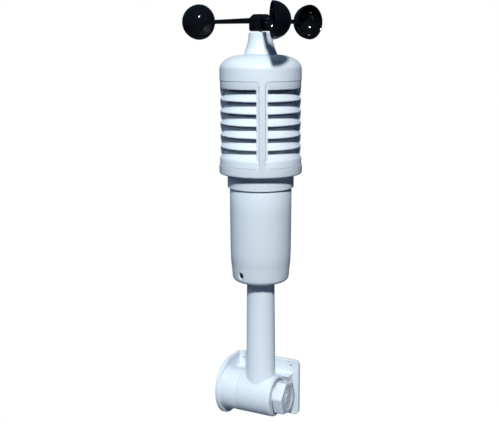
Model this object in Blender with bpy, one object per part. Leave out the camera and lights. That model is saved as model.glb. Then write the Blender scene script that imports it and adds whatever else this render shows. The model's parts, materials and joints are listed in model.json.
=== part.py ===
"""Cup anemometer with a louvred sensor shield, on a tilting mast and wall bracket.

Sizes are in millimetres; MM turns them into Blender's metres.  Every piece is drawn in mast
coordinates: Z runs up the mast, X along the pivot barrel towards the clamp knob, and the point
0, 0, 0 is where those two axes cross.  The empties carry the pieces to the world, where the
origin lies on the wall plate's back face and +Y points into the wall.
"""

from math import atan2, cos, hypot, pi, radians, sin

import bmesh
import bpy
from mathutils import Matrix, Vector

MM = 0.001
GAP = 0.3  # clearance between neighbouring pieces

# Wall bracket
PLATE_LEFT = -42.0
PLATE_RIGHT = 30.5
PLATE_HALF_HEIGHT = 30.0
PLATE_THICKNESS = 4.5
PLATE_CORNER = 5.0
MAST_OFF_WALL = 31.5
GUSSET_THICKNESS = 4.0
GUSSET_RADIUS = 30.0
GUSSET_CENTRE = 7.5
SCREW_HOLE_RADIUS = 1.6
SCREW_HOLE_X = 21.5
SCREW_HOLE_Z = 23.7
SADDLE_RIGHT = 24.0
SADDLE_HALF_HEIGHT = 15.5

# Pivot
BARREL_RADIUS = 21.3
BARREL_HALF_LENGTH = 19.0
BOLT_RADIUS = 3.0
BOLT_HEAD_RADIUS = 6.5
BOLT_HEAD_HEIGHT = 4.0
BOLT_END = 28.6
KNOB_CORNER_RADIUS = 17.7
KNOB_START = 20.8
KNOB_THICKNESS = 10.4
KNOB_TURN = -13.0
NUT_CORNER_RADIUS = 5.8
NUT_THICKNESS = 4.8

# Mast
POLE_FOOT_RADIUS = 15.1
POLE_DRAFT = 0.0098
POLE_TOP = 150.0
POLE_BORE_RADIUS = 11.0
POLE_PLUG = 12.0
BARREL_RECESS_RADIUS = 18.4
BARREL_RECESS_DEPTH = 1.8

# Battery sleeve and the carrier inside it
SLEEVE_TOP = 217.0
SLEEVE_BOTTOM = 122.5
SLEEVE_WALL = 2.0
SLEEVE_HOLE_RADIUS = 15.45
SLEEVE_SCREW_Z = 131.3
SLEEVE_SCREW_TURN = -107.0
SCREW_HEAD_RADIUS = 2.9
SCREW_HEAD_SEAT = 26.4
SCREW_SHANK_RADIUS = 1.4
CARRIER_FLOOR = 150.3
CARRIER_CEILING = 211.5
CARRIER_DISC = 3.0
CARRIER_RADIUS = 26.6
CELL_RADIUS = 7.25
CELL_LENGTH = 50.5
CELL_X = 8.3
CELL_Y = 10.4
BOARD_THICKNESS = 1.6
BUTTON_TRAVEL = 0.3

# Shield
HEAD_TURN = 28.3  # degrees that the head is turned on the mast, from facing -Y
SHIELD_TOP_RADIUS = 39.6
SHIELD_FOOT_RADIUS = 40.6
SHIELD_FOOT = 231.2
SHIELD_WALL = 2.2
CAP_FLAT_RADIUS = 16.5
CAP_TOP = 345.4
CAP_DEPTH = 13.4
WINDOW_TOP = 321.5
WINDOW_BOTTOM = 240.2
PILLAR_HALF_ANGLE = 4.0
LIP_TOP = 313.9
LIP_PITCH = 11.34
LOUVRE_COUNT = 5
LOUVRE_LIP_RADIUS = 39.2
LOUVRE_WALL = 1.6
STRIP_ANGLE = 3.2
NECK_RADIUS = 32.6
NECK_FOOT = 217.3
BASE_FLOOR = 233.0
SCREEN_RADIUS = 30.4

# Bearing tower
TOWER_TOP = 366.6
TOWER_TUBE_RADIUS = 6.4
TOWER_TUBE_FOOT = 322.0
TOWER_BOLT_CIRCLE = 9.6
BUSH_RADIUS = 4.0
BUSH_LENGTH = 5.2
SHAFT_RADIUS = 1.5
SHAFT_CLEARANCE = 0.06

# Rotor
ROTOR_ARM_TURN = 185.5
ARM_COUNT = 3
HUB_RADIUS = 11.0
HUB_FOOT = 367.4
HUB_SPLIT = 377.2
HUB_TOP = 383.2
ARM_ROOT_HEIGHT = 5.2
ARM_TIP_HEIGHT = 3.9
ARM_WIDTH = 3.4
ARM_ROOT = 3.6
CUP_CENTRE = 64.0
CUP_DROOP = 0.7
CUP_RADIUS = 16.9
CUP_WALL = 1.3

for old in list(bpy.data.objects):
    bpy.data.objects.remove(old, do_unlink=True)


# ---------------------------------------------------------------- helpers

def material(name, colour, roughness, metallic=0.0):
    """A plain Principled material for one kind of piece."""
    made = bpy.data.materials.new(name)
    made.use_nodes = True
    shader = made.node_tree.nodes["Principled BSDF"]
    shader.inputs["Base Color"].default_value = (*colour, 1.0)
    shader.inputs["Roughness"].default_value = roughness
    shader.inputs["Metallic"].default_value = metallic
    return made


def empty(name, parent=None, location=(0, 0, 0)):
    """An axis that the pieces of one body hang on."""
    made = bpy.data.objects.new(name, None)
    made.location = Vector(location) * MM
    made.parent = parent
    bpy.context.scene.collection.objects.link(made)
    return made


def finish(name, bm, parent, finish_material):
    """Turns a bmesh drawn in millimetres into an object."""
    bmesh.ops.recalc_face_normals(bm, faces=bm.faces)
    bmesh.ops.scale(bm, vec=(MM, MM, MM), verts=bm.verts)
    mesh = bpy.data.meshes.new(name)
    bm.to_mesh(mesh)
    bm.free()
    made = bpy.data.objects.new(name, mesh)
    made.parent = parent
    if finish_material:
        mesh.materials.append(finish_material)
    bpy.context.scene.collection.objects.link(made)
    mesh.shade_smooth()
    mesh.set_sharp_from_angle(angle=radians(35))
    return made


def turned(name, profile, parent=None, finish_material=None, segments=48, start=0.0, sweep=360.0):
    """Spins a closed outline of (radius, height) points about Z."""
    bm = bmesh.new()
    turn = Matrix.Rotation(radians(start), 3, "Z")
    points = [bm.verts.new(turn @ Vector((r, 0.0, z))) for r, z in profile]
    whole = sweep > 359.9
    if whole:
        pairs = zip(range(len(profile)), [*range(1, len(profile)), 0])
        geometry = [
            bm.edges.new((points[a], points[b]))
            for a, b in pairs
            if profile[a][0] > 0 or profile[b][0] > 0
        ]
    else:
        geometry = [bm.faces.new(points)]
    bmesh.ops.spin(
        bm, geom=geometry, cent=(0, 0, 0), axis=(0, 0, 1), dvec=(0, 0, 0),
        angle=radians(sweep), steps=segments, use_merge=whole,
    )
    bmesh.ops.remove_doubles(bm, verts=bm.verts, dist=1e-5)
    return finish(name, bm, parent, finish_material)


def along_x(made):
    """Lays a piece turned about Z on the X axis, with its +Z end at +X."""
    made.data.transform(Matrix.Rotation(radians(90), 4, "Y"))
    return made


def moved(made, x=0.0, y=0.0, z=0.0, turn=0.0):
    """Moves a mesh in millimetres, then turns it about the mast."""
    made.data.transform(Matrix.Translation(Vector((x, y, z)) * MM))
    made.data.transform(Matrix.Rotation(radians(turn), 4, "Z"))
    return made


def box(name, low, high, parent=None, finish_material=None):
    """A block between two corners."""
    bm = bmesh.new()
    bmesh.ops.create_cube(bm, size=1.0)
    for vert in bm.verts:
        vert.co = Vector([l + (h - l) * (c + 0.5) for l, h, c in zip(low, high, vert.co)])
    return finish(name, bm, parent, finish_material)


def prism(name, outline, low, high, parent=None, finish_material=None, axis="Z"):
    """Extrudes an outline along Z, or along X with the outline in the Y, Z plane."""
    bm = bmesh.new()
    if axis == "Z":
        points = [bm.verts.new((a, b, low)) for a, b in outline]
        travel = Vector((0, 0, high - low))
    else:
        points = [bm.verts.new((low, a, b)) for a, b in outline]
        travel = Vector((high - low, 0, 0))
    face = bm.faces.new(points)
    grown = bmesh.ops.extrude_face_region(bm, geom=[face])
    bmesh.ops.translate(
        bm, vec=travel, verts=[g for g in grown["geom"] if isinstance(g, bmesh.types.BMVert)]
    )
    return finish(name, bm, parent, finish_material)


def rod(name, start, end, radius, parent=None, finish_material=None, segments=24):
    """A round bar between two points."""
    start, end = Vector(start), Vector(end)
    length = (end - start).length
    made = turned(
        name, [(0, 0), (radius, 0), (radius, length), (0, length)], parent, finish_material, segments
    )
    aim = (end - start).to_track_quat("Z", "Y").to_matrix().to_4x4()
    made.data.transform(Matrix.Translation(start * MM) @ aim)
    return made


def combine(made, tool, operation, solver):
    """Applies a Boolean and removes the tool."""
    step = made.modifiers.new(operation.lower(), "BOOLEAN")
    step.operation = operation
    step.solver = solver
    step.object = tool
    tool.parent = made.parent
    bpy.context.view_layer.update()
    result = bpy.data.meshes.new_from_object(
        made.evaluated_get(bpy.context.evaluated_depsgraph_get())
    )
    made.modifiers.clear()
    made.data = result
    made.data.name = made.name
    bpy.data.objects.remove(tool, do_unlink=True)
    made.data.set_sharp_from_angle(angle=radians(35))
    return made


def cut(made, *tools, solver="EXACT"):
    for tool in tools:
        combine(made, tool, "DIFFERENCE", solver)
    return made


def fuse(made, *tools, solver="EXACT"):
    for tool in tools:
        combine(made, tool, "UNION", solver)
    return made


def arc(centre_a, centre_b, radius, start, end, steps):
    """Points on a circle, from one angle to another in degrees."""
    angles = [radians(start + (end - start) * i / steps) for i in range(steps + 1)]
    return [(centre_a + radius * cos(t), centre_b + radius * sin(t)) for t in angles]


def rounded_rectangle(a0, a1, b0, b1, radius, steps=4):
    """A rectangle's outline with round corners."""
    return (
        arc(a1 - radius, b1 - radius, radius, 0, 90, steps)
        + arc(a0 + radius, b1 - radius, radius, 90, 180, steps)
        + arc(a0 + radius, b0 + radius, radius, 180, 270, steps)
        + arc(a1 - radius, b0 + radius, radius, 270, 360, steps)
    )


def tube_profile(inner, outer, low, high):
    return [(inner, low), (outer, low), (outer, high), (inner, high)]


def polar(radius, angle, z=0.0):
    """A point at an angle in degrees around the mast."""
    return Vector((radius * cos(radians(angle)), radius * sin(radians(angle)), z))


# ---------------------------------------------------------------- materials

WHITE = material("white_asa", (0.86, 0.88, 0.9), 0.38)
BLACK = material("gloss_black_abs", (0.008, 0.008, 0.01), 0.12)
GREY = material("grey_core_plastic", (0.3, 0.32, 0.34), 0.5)
STEEL = material("stainless_steel", (0.62, 0.62, 0.62), 0.28, 1.0)
BRASS = material("brass", (0.75, 0.56, 0.28), 0.3, 1.0)
NICKEL = material("nickel_spring", (0.7, 0.68, 0.64), 0.3, 1.0)
BOARD = material("green_board", (0.02, 0.22, 0.09), 0.45)
RUBBER = material("black_rubber", (0.02, 0.02, 0.02), 0.7)
CELL_WRAP = material("cell_wrap", (0.05, 0.16, 0.5), 0.35)
MAGNET = material("ferrite_magnet", (0.1, 0.1, 0.11), 0.5)
GLASS = material("reed_glass", (0.55, 0.75, 0.65), 0.08)
SCREEN = material("dark_screen", (0.09, 0.1, 0.13), 0.8)
RED = material("red_button", (0.6, 0.03, 0.02), 0.35)

# ---------------------------------------------------------------- axes

wall = empty("wall_frame")
mast_place = (0, -MAST_OFF_WALL, 0)
bracket_axis = empty("bracket_axis", wall, mast_place)
knob_axis = empty("knob_axis", bracket_axis)
tilt_axis = empty("tilt_axis", bracket_axis)
head_axis = empty("head_axis", tilt_axis)
sleeve_axis = empty("sleeve_axis", head_axis)
rotor_axis = empty("rotor_axis", head_axis)

# ---------------------------------------------------------------- bracket and pivot

def wall_bracket():
    """Wall plate, end gusset, fixed boss and saddle, moulded as one."""
    back = MAST_OFF_WALL
    front = back - PLATE_THICKNESS
    high = PLATE_HALF_HEIGHT
    outline = rounded_rectangle(PLATE_LEFT, PLATE_RIGHT, -high, high, PLATE_CORNER)
    plate = prism("wall_bracket", [(a, -b) for a, b in outline], 0, PLATE_THICKNESS,
                  bracket_axis, WHITE)
    plate.data.transform(Matrix.Rotation(radians(-90), 4, "X"))
    moved(plate, y=front)
    inner = PLATE_LEFT + GUSSET_THICKNESS
    side = [(back - 0.5, -GUSSET_RADIUS + 0.5), (back - 0.5, GUSSET_RADIUS - 0.5)]
    side += arc(GUSSET_CENTRE, 0, GUSSET_RADIUS, 90, 270, 16)
    gusset = prism("gusset", side, PLATE_LEFT + 0.02, inner, axis="X")
    saddle = box(
        "saddle",
        (inner - 1, 8, -SADDLE_HALF_HEIGHT), (SADDLE_RIGHT, front + 1, SADDLE_HALF_HEIGHT),
    )
    hollow = rod("hollow", (-BARREL_HALF_LENGTH - GAP, 0, 0), (SADDLE_RIGHT + 5, 0, 0),
                 BARREL_RADIUS + 0.8, segments=40)
    cut(saddle, hollow)
    boss = rod("boss", (inner - 1, 0, 0), (-BARREL_HALF_LENGTH - GAP, 0, 0), BARREL_RADIUS,
               segments=40)
    fuse(plate, gusset, saddle, boss)
    core = along_x(turned("core", tube_profile(7.0, 17.5, inner + 5, -BARREL_HALF_LENGTH + 1),
                          segments=32))
    bore = rod("bore", (PLATE_LEFT - 1, 0, 0), (0, 0, 0), BOLT_RADIUS + GAP)
    pocket = rod("pocket", (PLATE_LEFT - 1, 0, 0), (PLATE_LEFT + BOLT_HEAD_HEIGHT + GAP, 0, 0),
                 BOLT_HEAD_RADIUS + GAP)
    cut(plate, core, bore, pocket)
    middle = (PLATE_LEFT + PLATE_RIGHT) / 2
    for x in (SCREW_HOLE_X, 2 * middle - SCREW_HOLE_X):
        for z in (-SCREW_HOLE_Z, SCREW_HOLE_Z):
            cut(plate, rod("hole", (x, front - 1, z), (x, back + 1, z), SCREW_HOLE_RADIUS,
                           segments=16))
    return plate


def pivot_bolt():
    """Pan head bolt that clamps the barrel to the boss."""
    head = BOLT_HEAD_HEIGHT
    total = BOLT_END - PLATE_LEFT
    profile = [(0, 0.2), (BOLT_HEAD_RADIUS - 1.2, 0.2), (BOLT_HEAD_RADIUS, 1.4),
               (BOLT_HEAD_RADIUS, head), (BOLT_RADIUS, head), (BOLT_RADIUS, total - 0.8),
               (BOLT_RADIUS - 0.8, total), (0, total)]
    return moved(along_x(turned("pivot_bolt", profile, bracket_axis, STEEL, 24)), x=PLATE_LEFT)


def knob_washer():
    ring = tube_profile(BOLT_RADIUS + GAP, 9.0, BARREL_HALF_LENGTH + GAP, KNOB_START - GAP)
    return along_x(turned("knob_washer", ring, bracket_axis, STEEL, 24))


def clamp_knob():
    """Six-sided hand nut with a brass insert behind."""
    corners = []
    for i in range(6):
        corner = radians(KNOB_TURN + 60 * i)
        for nudge in (-0.13, 0.0, 0.13):
            reach = KNOB_CORNER_RADIUS * (1.0 - 0.9 * abs(nudge) ** 2 * 4)
            corners.append((reach * cos(corner + nudge), reach * sin(corner + nudge)))
    end = KNOB_START + KNOB_THICKNESS
    knob = prism("clamp_knob", corners, KNOB_START, end, knob_axis, WHITE, axis="X")
    dish = along_x(turned("dish", tube_profile(6.2, 12.4, end - 1.4, end + 2), segments=32))
    bore = rod("bore", (KNOB_START - 1, 0, 0), (BOLT_END + 0.6, 0, 0), BOLT_RADIUS + GAP)
    pocket = along_x(turned("pocket", [(0, KNOB_START - 1), (NUT_CORNER_RADIUS + GAP, KNOB_START - 1),
                                       (NUT_CORNER_RADIUS + GAP, KNOB_START + NUT_THICKNESS + 2 * GAP),
                                       (0, KNOB_START + NUT_THICKNESS + 2 * GAP)], segments=6))
    return cut(knob, dish, bore, pocket)


def knob_nut():
    low = KNOB_START + GAP
    bore = BOLT_RADIUS + GAP
    nut = turned("nut_blank", [(0, low), (NUT_CORNER_RADIUS, low),
                               (NUT_CORNER_RADIUS, low + NUT_THICKNESS), (0, low + NUT_THICKNESS)],
                 knob_axis, BRASS, 6)
    nut.name = "knob_nut"
    cut(nut, turned("bore", [(0, low - 1), (bore, low - 1), (bore, low + 9), (0, low + 9)], segments=24))
    return along_x(nut)


def pole_radius(z):
    return POLE_FOOT_RADIUS - POLE_DRAFT * z


def mast_pole():
    """Drafted hollow pole, moulded with the pivot barrel it stands on."""
    low = 6.0
    pole = turned(
        "mast_pole",
        [(0, low), (pole_radius(low), low), (pole_radius(POLE_TOP), POLE_TOP), (0, POLE_TOP)],
        tilt_axis, WHITE, 40,
    )
    ends = BARREL_HALF_LENGTH
    edge = 1.6
    rim = [(0, -ends), (BARREL_RADIUS, -ends), (BARREL_RADIUS, ends - edge),
           (BARREL_RADIUS - edge * 0.3, ends - edge * 0.3), (BARREL_RADIUS - edge, ends), (0, ends)]
    barrel = along_x(turned("barrel", rim, segments=40))
    recess = tube_profile(9.6, BARREL_RECESS_RADIUS, ends - BARREL_RECESS_DEPTH, ends + 1)
    cut(barrel, along_x(turned("recess", recess, segments=32)))
    fuse(pole, barrel)
    bore_top = POLE_TOP - POLE_PLUG
    cut(pole, rod("core", (0, 0, -BARREL_RADIUS - 1), (0, 0, bore_top), POLE_BORE_RADIUS,
                  segments=32))
    fuse(pole, rod("bolt_tube", (-ends + 3, 0, 0), (ends - 3, 0, 0), 7.0))
    cut(pole, rod("bolt_hole", (-ends - 1, 0, 0), (ends + 1, 0, 0), BOLT_RADIUS + GAP))
    cut(pole, rod("pilot", (0, 0, bore_top - 1), (0, 0, POLE_TOP + 1), 2.0, segments=16))
    return pole


def swivel_screw():
    """Holds the battery carrier down on the pole's top, where it can turn."""
    seat = CARRIER_FLOOR + CARRIER_DISC + GAP
    profile = [(0, POLE_TOP - 9), (1.7, POLE_TOP - 9), (1.7, seat + 1.0 + GAP),
               (3.4, seat + 1.0 + GAP), (3.4, seat + 2.6), (2.2, seat + 3.4), (0, seat + 3.4)]
    return turned("swivel_screw", profile, tilt_axis, STEEL, 16)


def swivel_washer():
    seat = CARRIER_FLOOR + CARRIER_DISC + GAP
    return turned("swivel_washer", tube_profile(2.0, 6.0, seat, seat + 1.0), tilt_axis, STEEL, 24)


# ---------------------------------------------------------------- battery compartment

def sleeve_outline():
    """The sleeve's outer side, top to bottom, ending at the hole round the pole."""
    side = [(30.5, SLEEVE_TOP), (30.45, 193.5), (30.15, 152.6), (29.5, 140.2), (28.6, 131.9)]
    fillet = 5.0
    centre = (28.3 - fillet, SLEEVE_BOTTOM + fillet)
    return side + arc(*centre, fillet, -8, -90, 4)


def battery_sleeve():
    """Cover that slides down the pole to free the cells."""
    outer = sleeve_outline()
    wall_in = SLEEVE_WALL
    inner = [(r - wall_in, z) for r, z in outer[:5]]
    inner += [(24.6, SLEEVE_BOTTOM + 3.6), (22.8, SLEEVE_BOTTOM + wall_in)]
    profile = outer + [(SLEEVE_HOLE_RADIUS, SLEEVE_BOTTOM),
                       (SLEEVE_HOLE_RADIUS, SLEEVE_BOTTOM + wall_in)] + inner[::-1]
    sleeve = turned("battery_sleeve", profile, sleeve_axis, WHITE, 42)
    angle = SLEEVE_SCREW_TURN
    z = SLEEVE_SCREW_Z
    boss = rod("boss", polar(24.2, angle, z), polar(27.3, angle, z), 4.6, segments=20)
    fuse(sleeve, boss)
    cut(sleeve, rod("recess", polar(SCREW_HEAD_SEAT - GAP, angle, z), polar(33, angle, z),
                    SCREW_HEAD_RADIUS + 0.6, segments=20))
    cut(sleeve, rod("hole", polar(20, angle, z), polar(30, angle, z), SCREW_SHANK_RADIUS + GAP,
                    segments=16))
    return sleeve


def sleeve_screw():
    """Cross-head screw that locks the sleeve to the carrier's fork."""
    reach = 20.6
    seat = SCREW_HEAD_SEAT - reach
    profile = [(0, 0), (SCREW_SHANK_RADIUS - 0.3, 0), (SCREW_SHANK_RADIUS, 0.4),
               (SCREW_SHANK_RADIUS, seat), (SCREW_HEAD_RADIUS, seat),
               (SCREW_HEAD_RADIUS, seat + 1.0), (SCREW_HEAD_RADIUS - 0.9, seat + 1.8), (0, seat + 2.0)]
    screw = turned("sleeve_screw", profile, sleeve_axis, STEEL, 20)
    top = seat + 2.0
    for width, depth in ((3.2, 0.8), (0.8, 3.2)):
        cut(screw, box("cross", (-width / 2, -depth / 2, top - 1.0), (width / 2, depth / 2, top + 1)))
    aim = polar(1, SLEEVE_SCREW_TURN).to_track_quat("Z", "Y").to_matrix().to_4x4()
    screw.data.transform(Matrix.Translation(polar(reach, SLEEVE_SCREW_TURN, SLEEVE_SCREW_Z) * MM) @ aim)
    return screw


def battery_carrier():
    """Turning frame that holds the cells and the board, and sits on the pole's top."""
    ceiling_top = CARRIER_CEILING + CARRIER_DISC
    floor_top = CARRIER_FLOOR + CARRIER_DISC
    socket_in = pole_radius(130) + GAP
    profile = [(2.6, CARRIER_FLOOR), (socket_in, CARRIER_FLOOR), (socket_in, 133.0),
               (socket_in + 2.2, 133.0), (socket_in + 2.2, 146.0), (CARRIER_RADIUS, CARRIER_FLOOR),
               (CARRIER_RADIUS, floor_top), (2.6, floor_top)]
    carrier = turned("battery_carrier", profile, head_axis, GREY, 32)
    ceiling = turned("ceiling", [(0, CARRIER_CEILING), (CARRIER_RADIUS, CARRIER_CEILING),
                                 (CARRIER_RADIUS, ceiling_top), (0, ceiling_top)], segments=32)
    spine = box("spine", (-23, 0, CARRIER_FLOOR + 1), (23, 2.2, ceiling_top - 1))
    rib = box("rib", (-0.9, 1, floor_top - 1), (0.9, 16, CARRIER_CEILING + 1))
    fuse(carrier, ceiling, spine, rib)
    cut(carrier, rod("swivel_room", (0, 0, CARRIER_FLOOR - 1), (0, 0, floor_top + 6), 2.6))
    cut(carrier, rod("washer_room", (0, 0, floor_top - 0.01), (0, 0, floor_top + 6.5), 7.0))
    fork = box("fork", (socket_in + 0.4, -4.2, 126.2), (23.0, 4.2, 141.0))
    slot_width = SCREW_SHANK_RADIUS + 0.5
    slot = box("slot", (19.0, -slot_width, 120), (30, slot_width, SLEEVE_SCREW_Z + slot_width))
    cut(fork, slot)
    moved(fork, turn=SLEEVE_SCREW_TURN)
    fuse(carrier, fork)
    cut(carrier, *[rod("screw_room", (x, -14, CARRIER_CEILING - 1), (x, -14, ceiling_top + 1), 1.8,
                       segments=16) for x in (-14, 14)])
    cut(carrier, rod("pole_room", (0, 0, 120), (0, 0, CARRIER_FLOOR), socket_in, segments=40))
    return carrier


def cell(index, x, upright):
    """AA cell, 14.5 x 50.5."""
    nub = 1.0
    body = CELL_LENGTH - nub
    radius = CELL_RADIUS
    profile = [(0, 0), (radius - 0.6, 0), (radius, 0.6), (radius, body - 0.8), (radius - 0.8, body),
               (2.75, body), (2.75, CELL_LENGTH), (0, CELL_LENGTH)]
    made = turned(f"cell_{index}", profile, head_axis, CELL_WRAP, 24)
    if not upright:
        made.data.transform(Matrix.Rotation(pi, 4, "X"))
        made.data.transform(Matrix.Translation((0, 0, CELL_LENGTH * MM)))
    return moved(made, x, CELL_Y, CARRIER_FLOOR + CARRIER_DISC + (6.6 if upright else 1.1))


def cell_spring(index, x, at_floor):
    """Conical contact spring of round wire."""
    floor_top = CARRIER_FLOOR + CARRIER_DISC
    turns, height, wire = 3, 5.0, 0.45
    count = 12 * turns
    low = floor_top + GAP + wire if at_floor else CARRIER_CEILING - GAP - wire
    side = 1 if at_floor else -1
    curve = bpy.data.curves.new("spring_path", "CURVE")
    curve.dimensions = "3D"
    curve.bevel_depth = wire * MM
    curve.bevel_resolution = 1
    curve.use_fill_caps = True
    spline = curve.splines.new("POLY")
    spline.points.add(count)
    for i, point in enumerate(spline.points):
        part = i / count
        angle = 2 * pi * turns * part
        radius = 5.0 - 2.4 * part
        z = low + side * (height - 2 * wire) * part
        point.co = (*(Vector((x + radius * cos(angle), CELL_Y + radius * sin(angle), z)) * MM), 1.0)
    made = bpy.data.objects.new(f"cell_spring_{index}", curve)
    made.parent = head_axis
    curve.materials.append(NICKEL)
    bpy.context.scene.collection.objects.link(made)
    return made


def cell_contact(index, x, at_floor):
    """Flat contact against a cell's nub."""
    thick = 0.5
    low = CARRIER_FLOOR + CARRIER_DISC + GAP if at_floor else CARRIER_CEILING - GAP - thick
    return box(f"cell_contact_{index}", (x - 4.5, CELL_Y - 4.5, low),
               (x + 4.5, CELL_Y + 4.5, low + thick), head_axis, NICKEL)


BOARD_FRONT = -4.0


def main_board():
    back = BOARD_FRONT - BOARD_THICKNESS
    return box("main_board", (-20, back, 158), (20, BOARD_FRONT, 207), head_axis, BOARD)


def radio_module():
    back = BOARD_FRONT - BOARD_THICKNESS - GAP
    return box("radio_module", (-15, back - 2.4, 186), (1, back, 202), head_axis, STEEL)


def antenna():
    """Upright whip antenna of the radio module."""
    y = BOARD_FRONT - BOARD_THICKNESS - 2.4
    return rod("antenna", (9, y, 163), (9, y, 206), 1.1, head_axis, BRASS, 12)


def button_body():
    back = BOARD_FRONT - BOARD_THICKNESS - GAP
    made = box("button_body", (-11, back - 3.4, 165), (-5, back, 171), head_axis, STEEL)
    return cut(made, rod("room", (-8, back - 5, 168), (-8, back - 1.0, 168), 2.1, segments=20))


def reset_button():
    back = BOARD_FRONT - BOARD_THICKNESS - GAP
    foot = back - 1.0 - GAP - BUTTON_TRAVEL
    return rod("reset_button", (-8, foot - 3.6, 168), (-8, foot, 168), 1.8, head_axis, RED, 20)


def status_lamp():
    back = BOARD_FRONT - BOARD_THICKNESS - GAP
    return rod("status_lamp", (-1, back - 2.6, 168), (-1, back, 168), 1.4, head_axis, RED, 16)


def seal_ring():
    """O-ring round the carrier's ceiling, inside the sleeve's mouth."""
    centre = CARRIER_RADIUS + 0.85 + 0.15
    return turned("seal_ring", arc(centre, CARRIER_CEILING + 1.5, 0.6, 0, 300, 5), head_axis, RUBBER, 32)


# ---------------------------------------------------------------- shield

def shield_side_radius(z):
    """The shield's outer radius, which its draft widens towards the foot."""
    part = (CAP_TOP - CAP_DEPTH - z) / (CAP_TOP - CAP_DEPTH - SHIELD_FOOT)
    return SHIELD_TOP_RADIUS + (SHIELD_FOOT_RADIUS - SHIELD_TOP_RADIUS) * part


def cap_outline(inset, steps):
    """The cap's quarter-ellipse shoulder, from its flat top to its side."""
    centre_z = CAP_TOP - CAP_DEPTH
    reach = SHIELD_TOP_RADIUS - CAP_FLAT_RADIUS - inset
    rise = CAP_DEPTH - inset
    angles = [pi / 2 * i / steps for i in range(steps + 1)]
    return [(CAP_FLAT_RADIUS + reach * sin(t), centre_z + rise * cos(t)) for t in angles]


def window_cutter(turn):
    """Takes one rounded window out of the shield's side, all but the two pillars."""
    sweep = 180 - 2 * PILLAR_HALF_ANGLE
    tool = turned("window", tube_profile(34.0, 44.0, WINDOW_BOTTOM, WINDOW_TOP), segments=24,
                  start=turn + PILLAR_HALF_ANGLE, sweep=sweep)
    return tool


def shield_frame():
    """Cap, two pillars and skirt, moulded as one."""
    outer = cap_outline(0, 7) + [(shield_side_radius(WINDOW_TOP), WINDOW_TOP),
                                 (SHIELD_FOOT_RADIUS, SHIELD_FOOT + 1.8),
                                 (SHIELD_FOOT_RADIUS - 0.6, SHIELD_FOOT + 0.5),
                                 (SHIELD_FOOT_RADIUS - 1.6, SHIELD_FOOT)]
    inner = cap_outline(SHIELD_WALL, 3) + [(SHIELD_FOOT_RADIUS - SHIELD_WALL, SHIELD_FOOT)]
    spigot = TOWER_TUBE_RADIUS + GAP
    profile = [(spigot, CAP_TOP)] + outer + inner[::-1] + [(spigot, CAP_TOP - SHIELD_WALL)]
    front = -90 + HEAD_TURN
    frame = turned("shield_frame", profile, head_axis, WHITE, 48, start=front)
    cut(frame, window_cutter(front), window_cutter(front + 180))
    for angle in (front, front + 180):
        boss = rod("boss", polar(35.2, angle, BASE_FLOOR + 2.5 + GAP),
                   polar(35.2, angle, WINDOW_BOTTOM + 5), 3.0, segments=16)
        tie = box("tie", (35.2, -1.6, BASE_FLOOR + 2.5 + GAP), (39.0, 1.6, WINDOW_BOTTOM + 5))
        moved(tie, turn=angle)
        fuse(frame, fuse(boss, tie))
        cut(frame, rod("pilot", polar(35.2, angle, BASE_FLOOR), polar(35.2, angle, WINDOW_BOTTOM + 3),
                       1.3, segments=12))
    for side in (90, 270):
        post = rod("post", polar(12.6, front + side, 309.2), polar(12.6, front + side, CAP_TOP - 1), 2.2,
                   segments=12)
        fuse(frame, post)
        cut(frame, rod("pilot", polar(12.6, front + side, 300), polar(12.6, front + side, 315), 1.2,
                       segments=12))
    for i in range(3):
        place = polar(TOWER_BOLT_CIRCLE, front + 60 + 120 * i)
        cut(frame, rod("tower_hole", (place.x, place.y, CAP_TOP - 4), (place.x, place.y, CAP_TOP + 2),
                       1.6, segments=12))
    return frame


def louvre_profile(lip):
    """One flared louvre ring, whose lip is its lowest and widest point."""
    wide = LOUVRE_LIP_RADIUS
    return [(wide - LOUVRE_WALL, lip), (wide - 0.2, lip), (wide, lip + 0.8), (wide - 0.9, lip + 2.2),
            (wide - 7.4, lip + 9.0), (wide - 8.4, lip + 7.9)]


def louvre_panel(name, turn):
    """Half of the louvred side: a top band, flared rings, a bottom band and the web between."""
    edge = PILLAR_HALF_ANGLE + 0.45
    start = turn + edge
    sweep = 180 - 2 * edge
    steps = 20
    top = WINDOW_TOP - GAP
    wide = LOUVRE_LIP_RADIUS
    band = [(wide - LOUVRE_WALL, LIP_TOP), (wide - 0.4, LIP_TOP), (wide + 0.05, LIP_TOP + 0.7),
            (wide + 0.1, top), (wide - LOUVRE_WALL, top)]
    panel = turned(name, band, head_axis, WHITE, steps, start, sweep)
    for i in range(LOUVRE_COUNT):
        lip = LIP_TOP - LIP_PITCH * (i + 1)
        fuse_later = turned("ring", louvre_profile(lip), None, None, steps, start, sweep)
        join_shells(panel, fuse_later)
    last = LIP_TOP - LIP_PITCH * (LOUVRE_COUNT + 1)
    low = WINDOW_BOTTOM + GAP
    foot = [(wide - LOUVRE_WALL, low), (wide + 0.65, low), (wide + 0.5, last + 0.4),
            (wide - 0.9, last + 3.0), (wide - 7.2, last + 9.6), (wide - 8.4, last + 8.4),
            (wide - LOUVRE_WALL, last)]
    join_shells(panel, turned("foot", foot, None, None, steps, start, sweep))
    for offset in (STRIP_ANGLE / 2, sweep - STRIP_ANGLE / 2):
        strip = turned("strip", tube_profile(36.2, wide + 0.02, low + 0.5, top - 0.5), None, None, 2,
                       start + offset - STRIP_ANGLE / 2 + 0.02, STRIP_ANGLE - 0.04)
        end_wall = turned("end_wall", tube_profile(SCREEN_RADIUS + 0.5, 37.0, low + 6.5, top - 2), None, None,
                          1, start + offset - 0.9, 1.8)
        fuse(panel, strip, end_wall)
    web_angle = 2.4
    web = turned("web", tube_profile(SCREEN_RADIUS + 0.5, wide - 0.1, low + 2, top - 2), None, None, 1,
                 start + (sweep - web_angle) / 2, web_angle)
    return fuse(panel, web)


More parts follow.
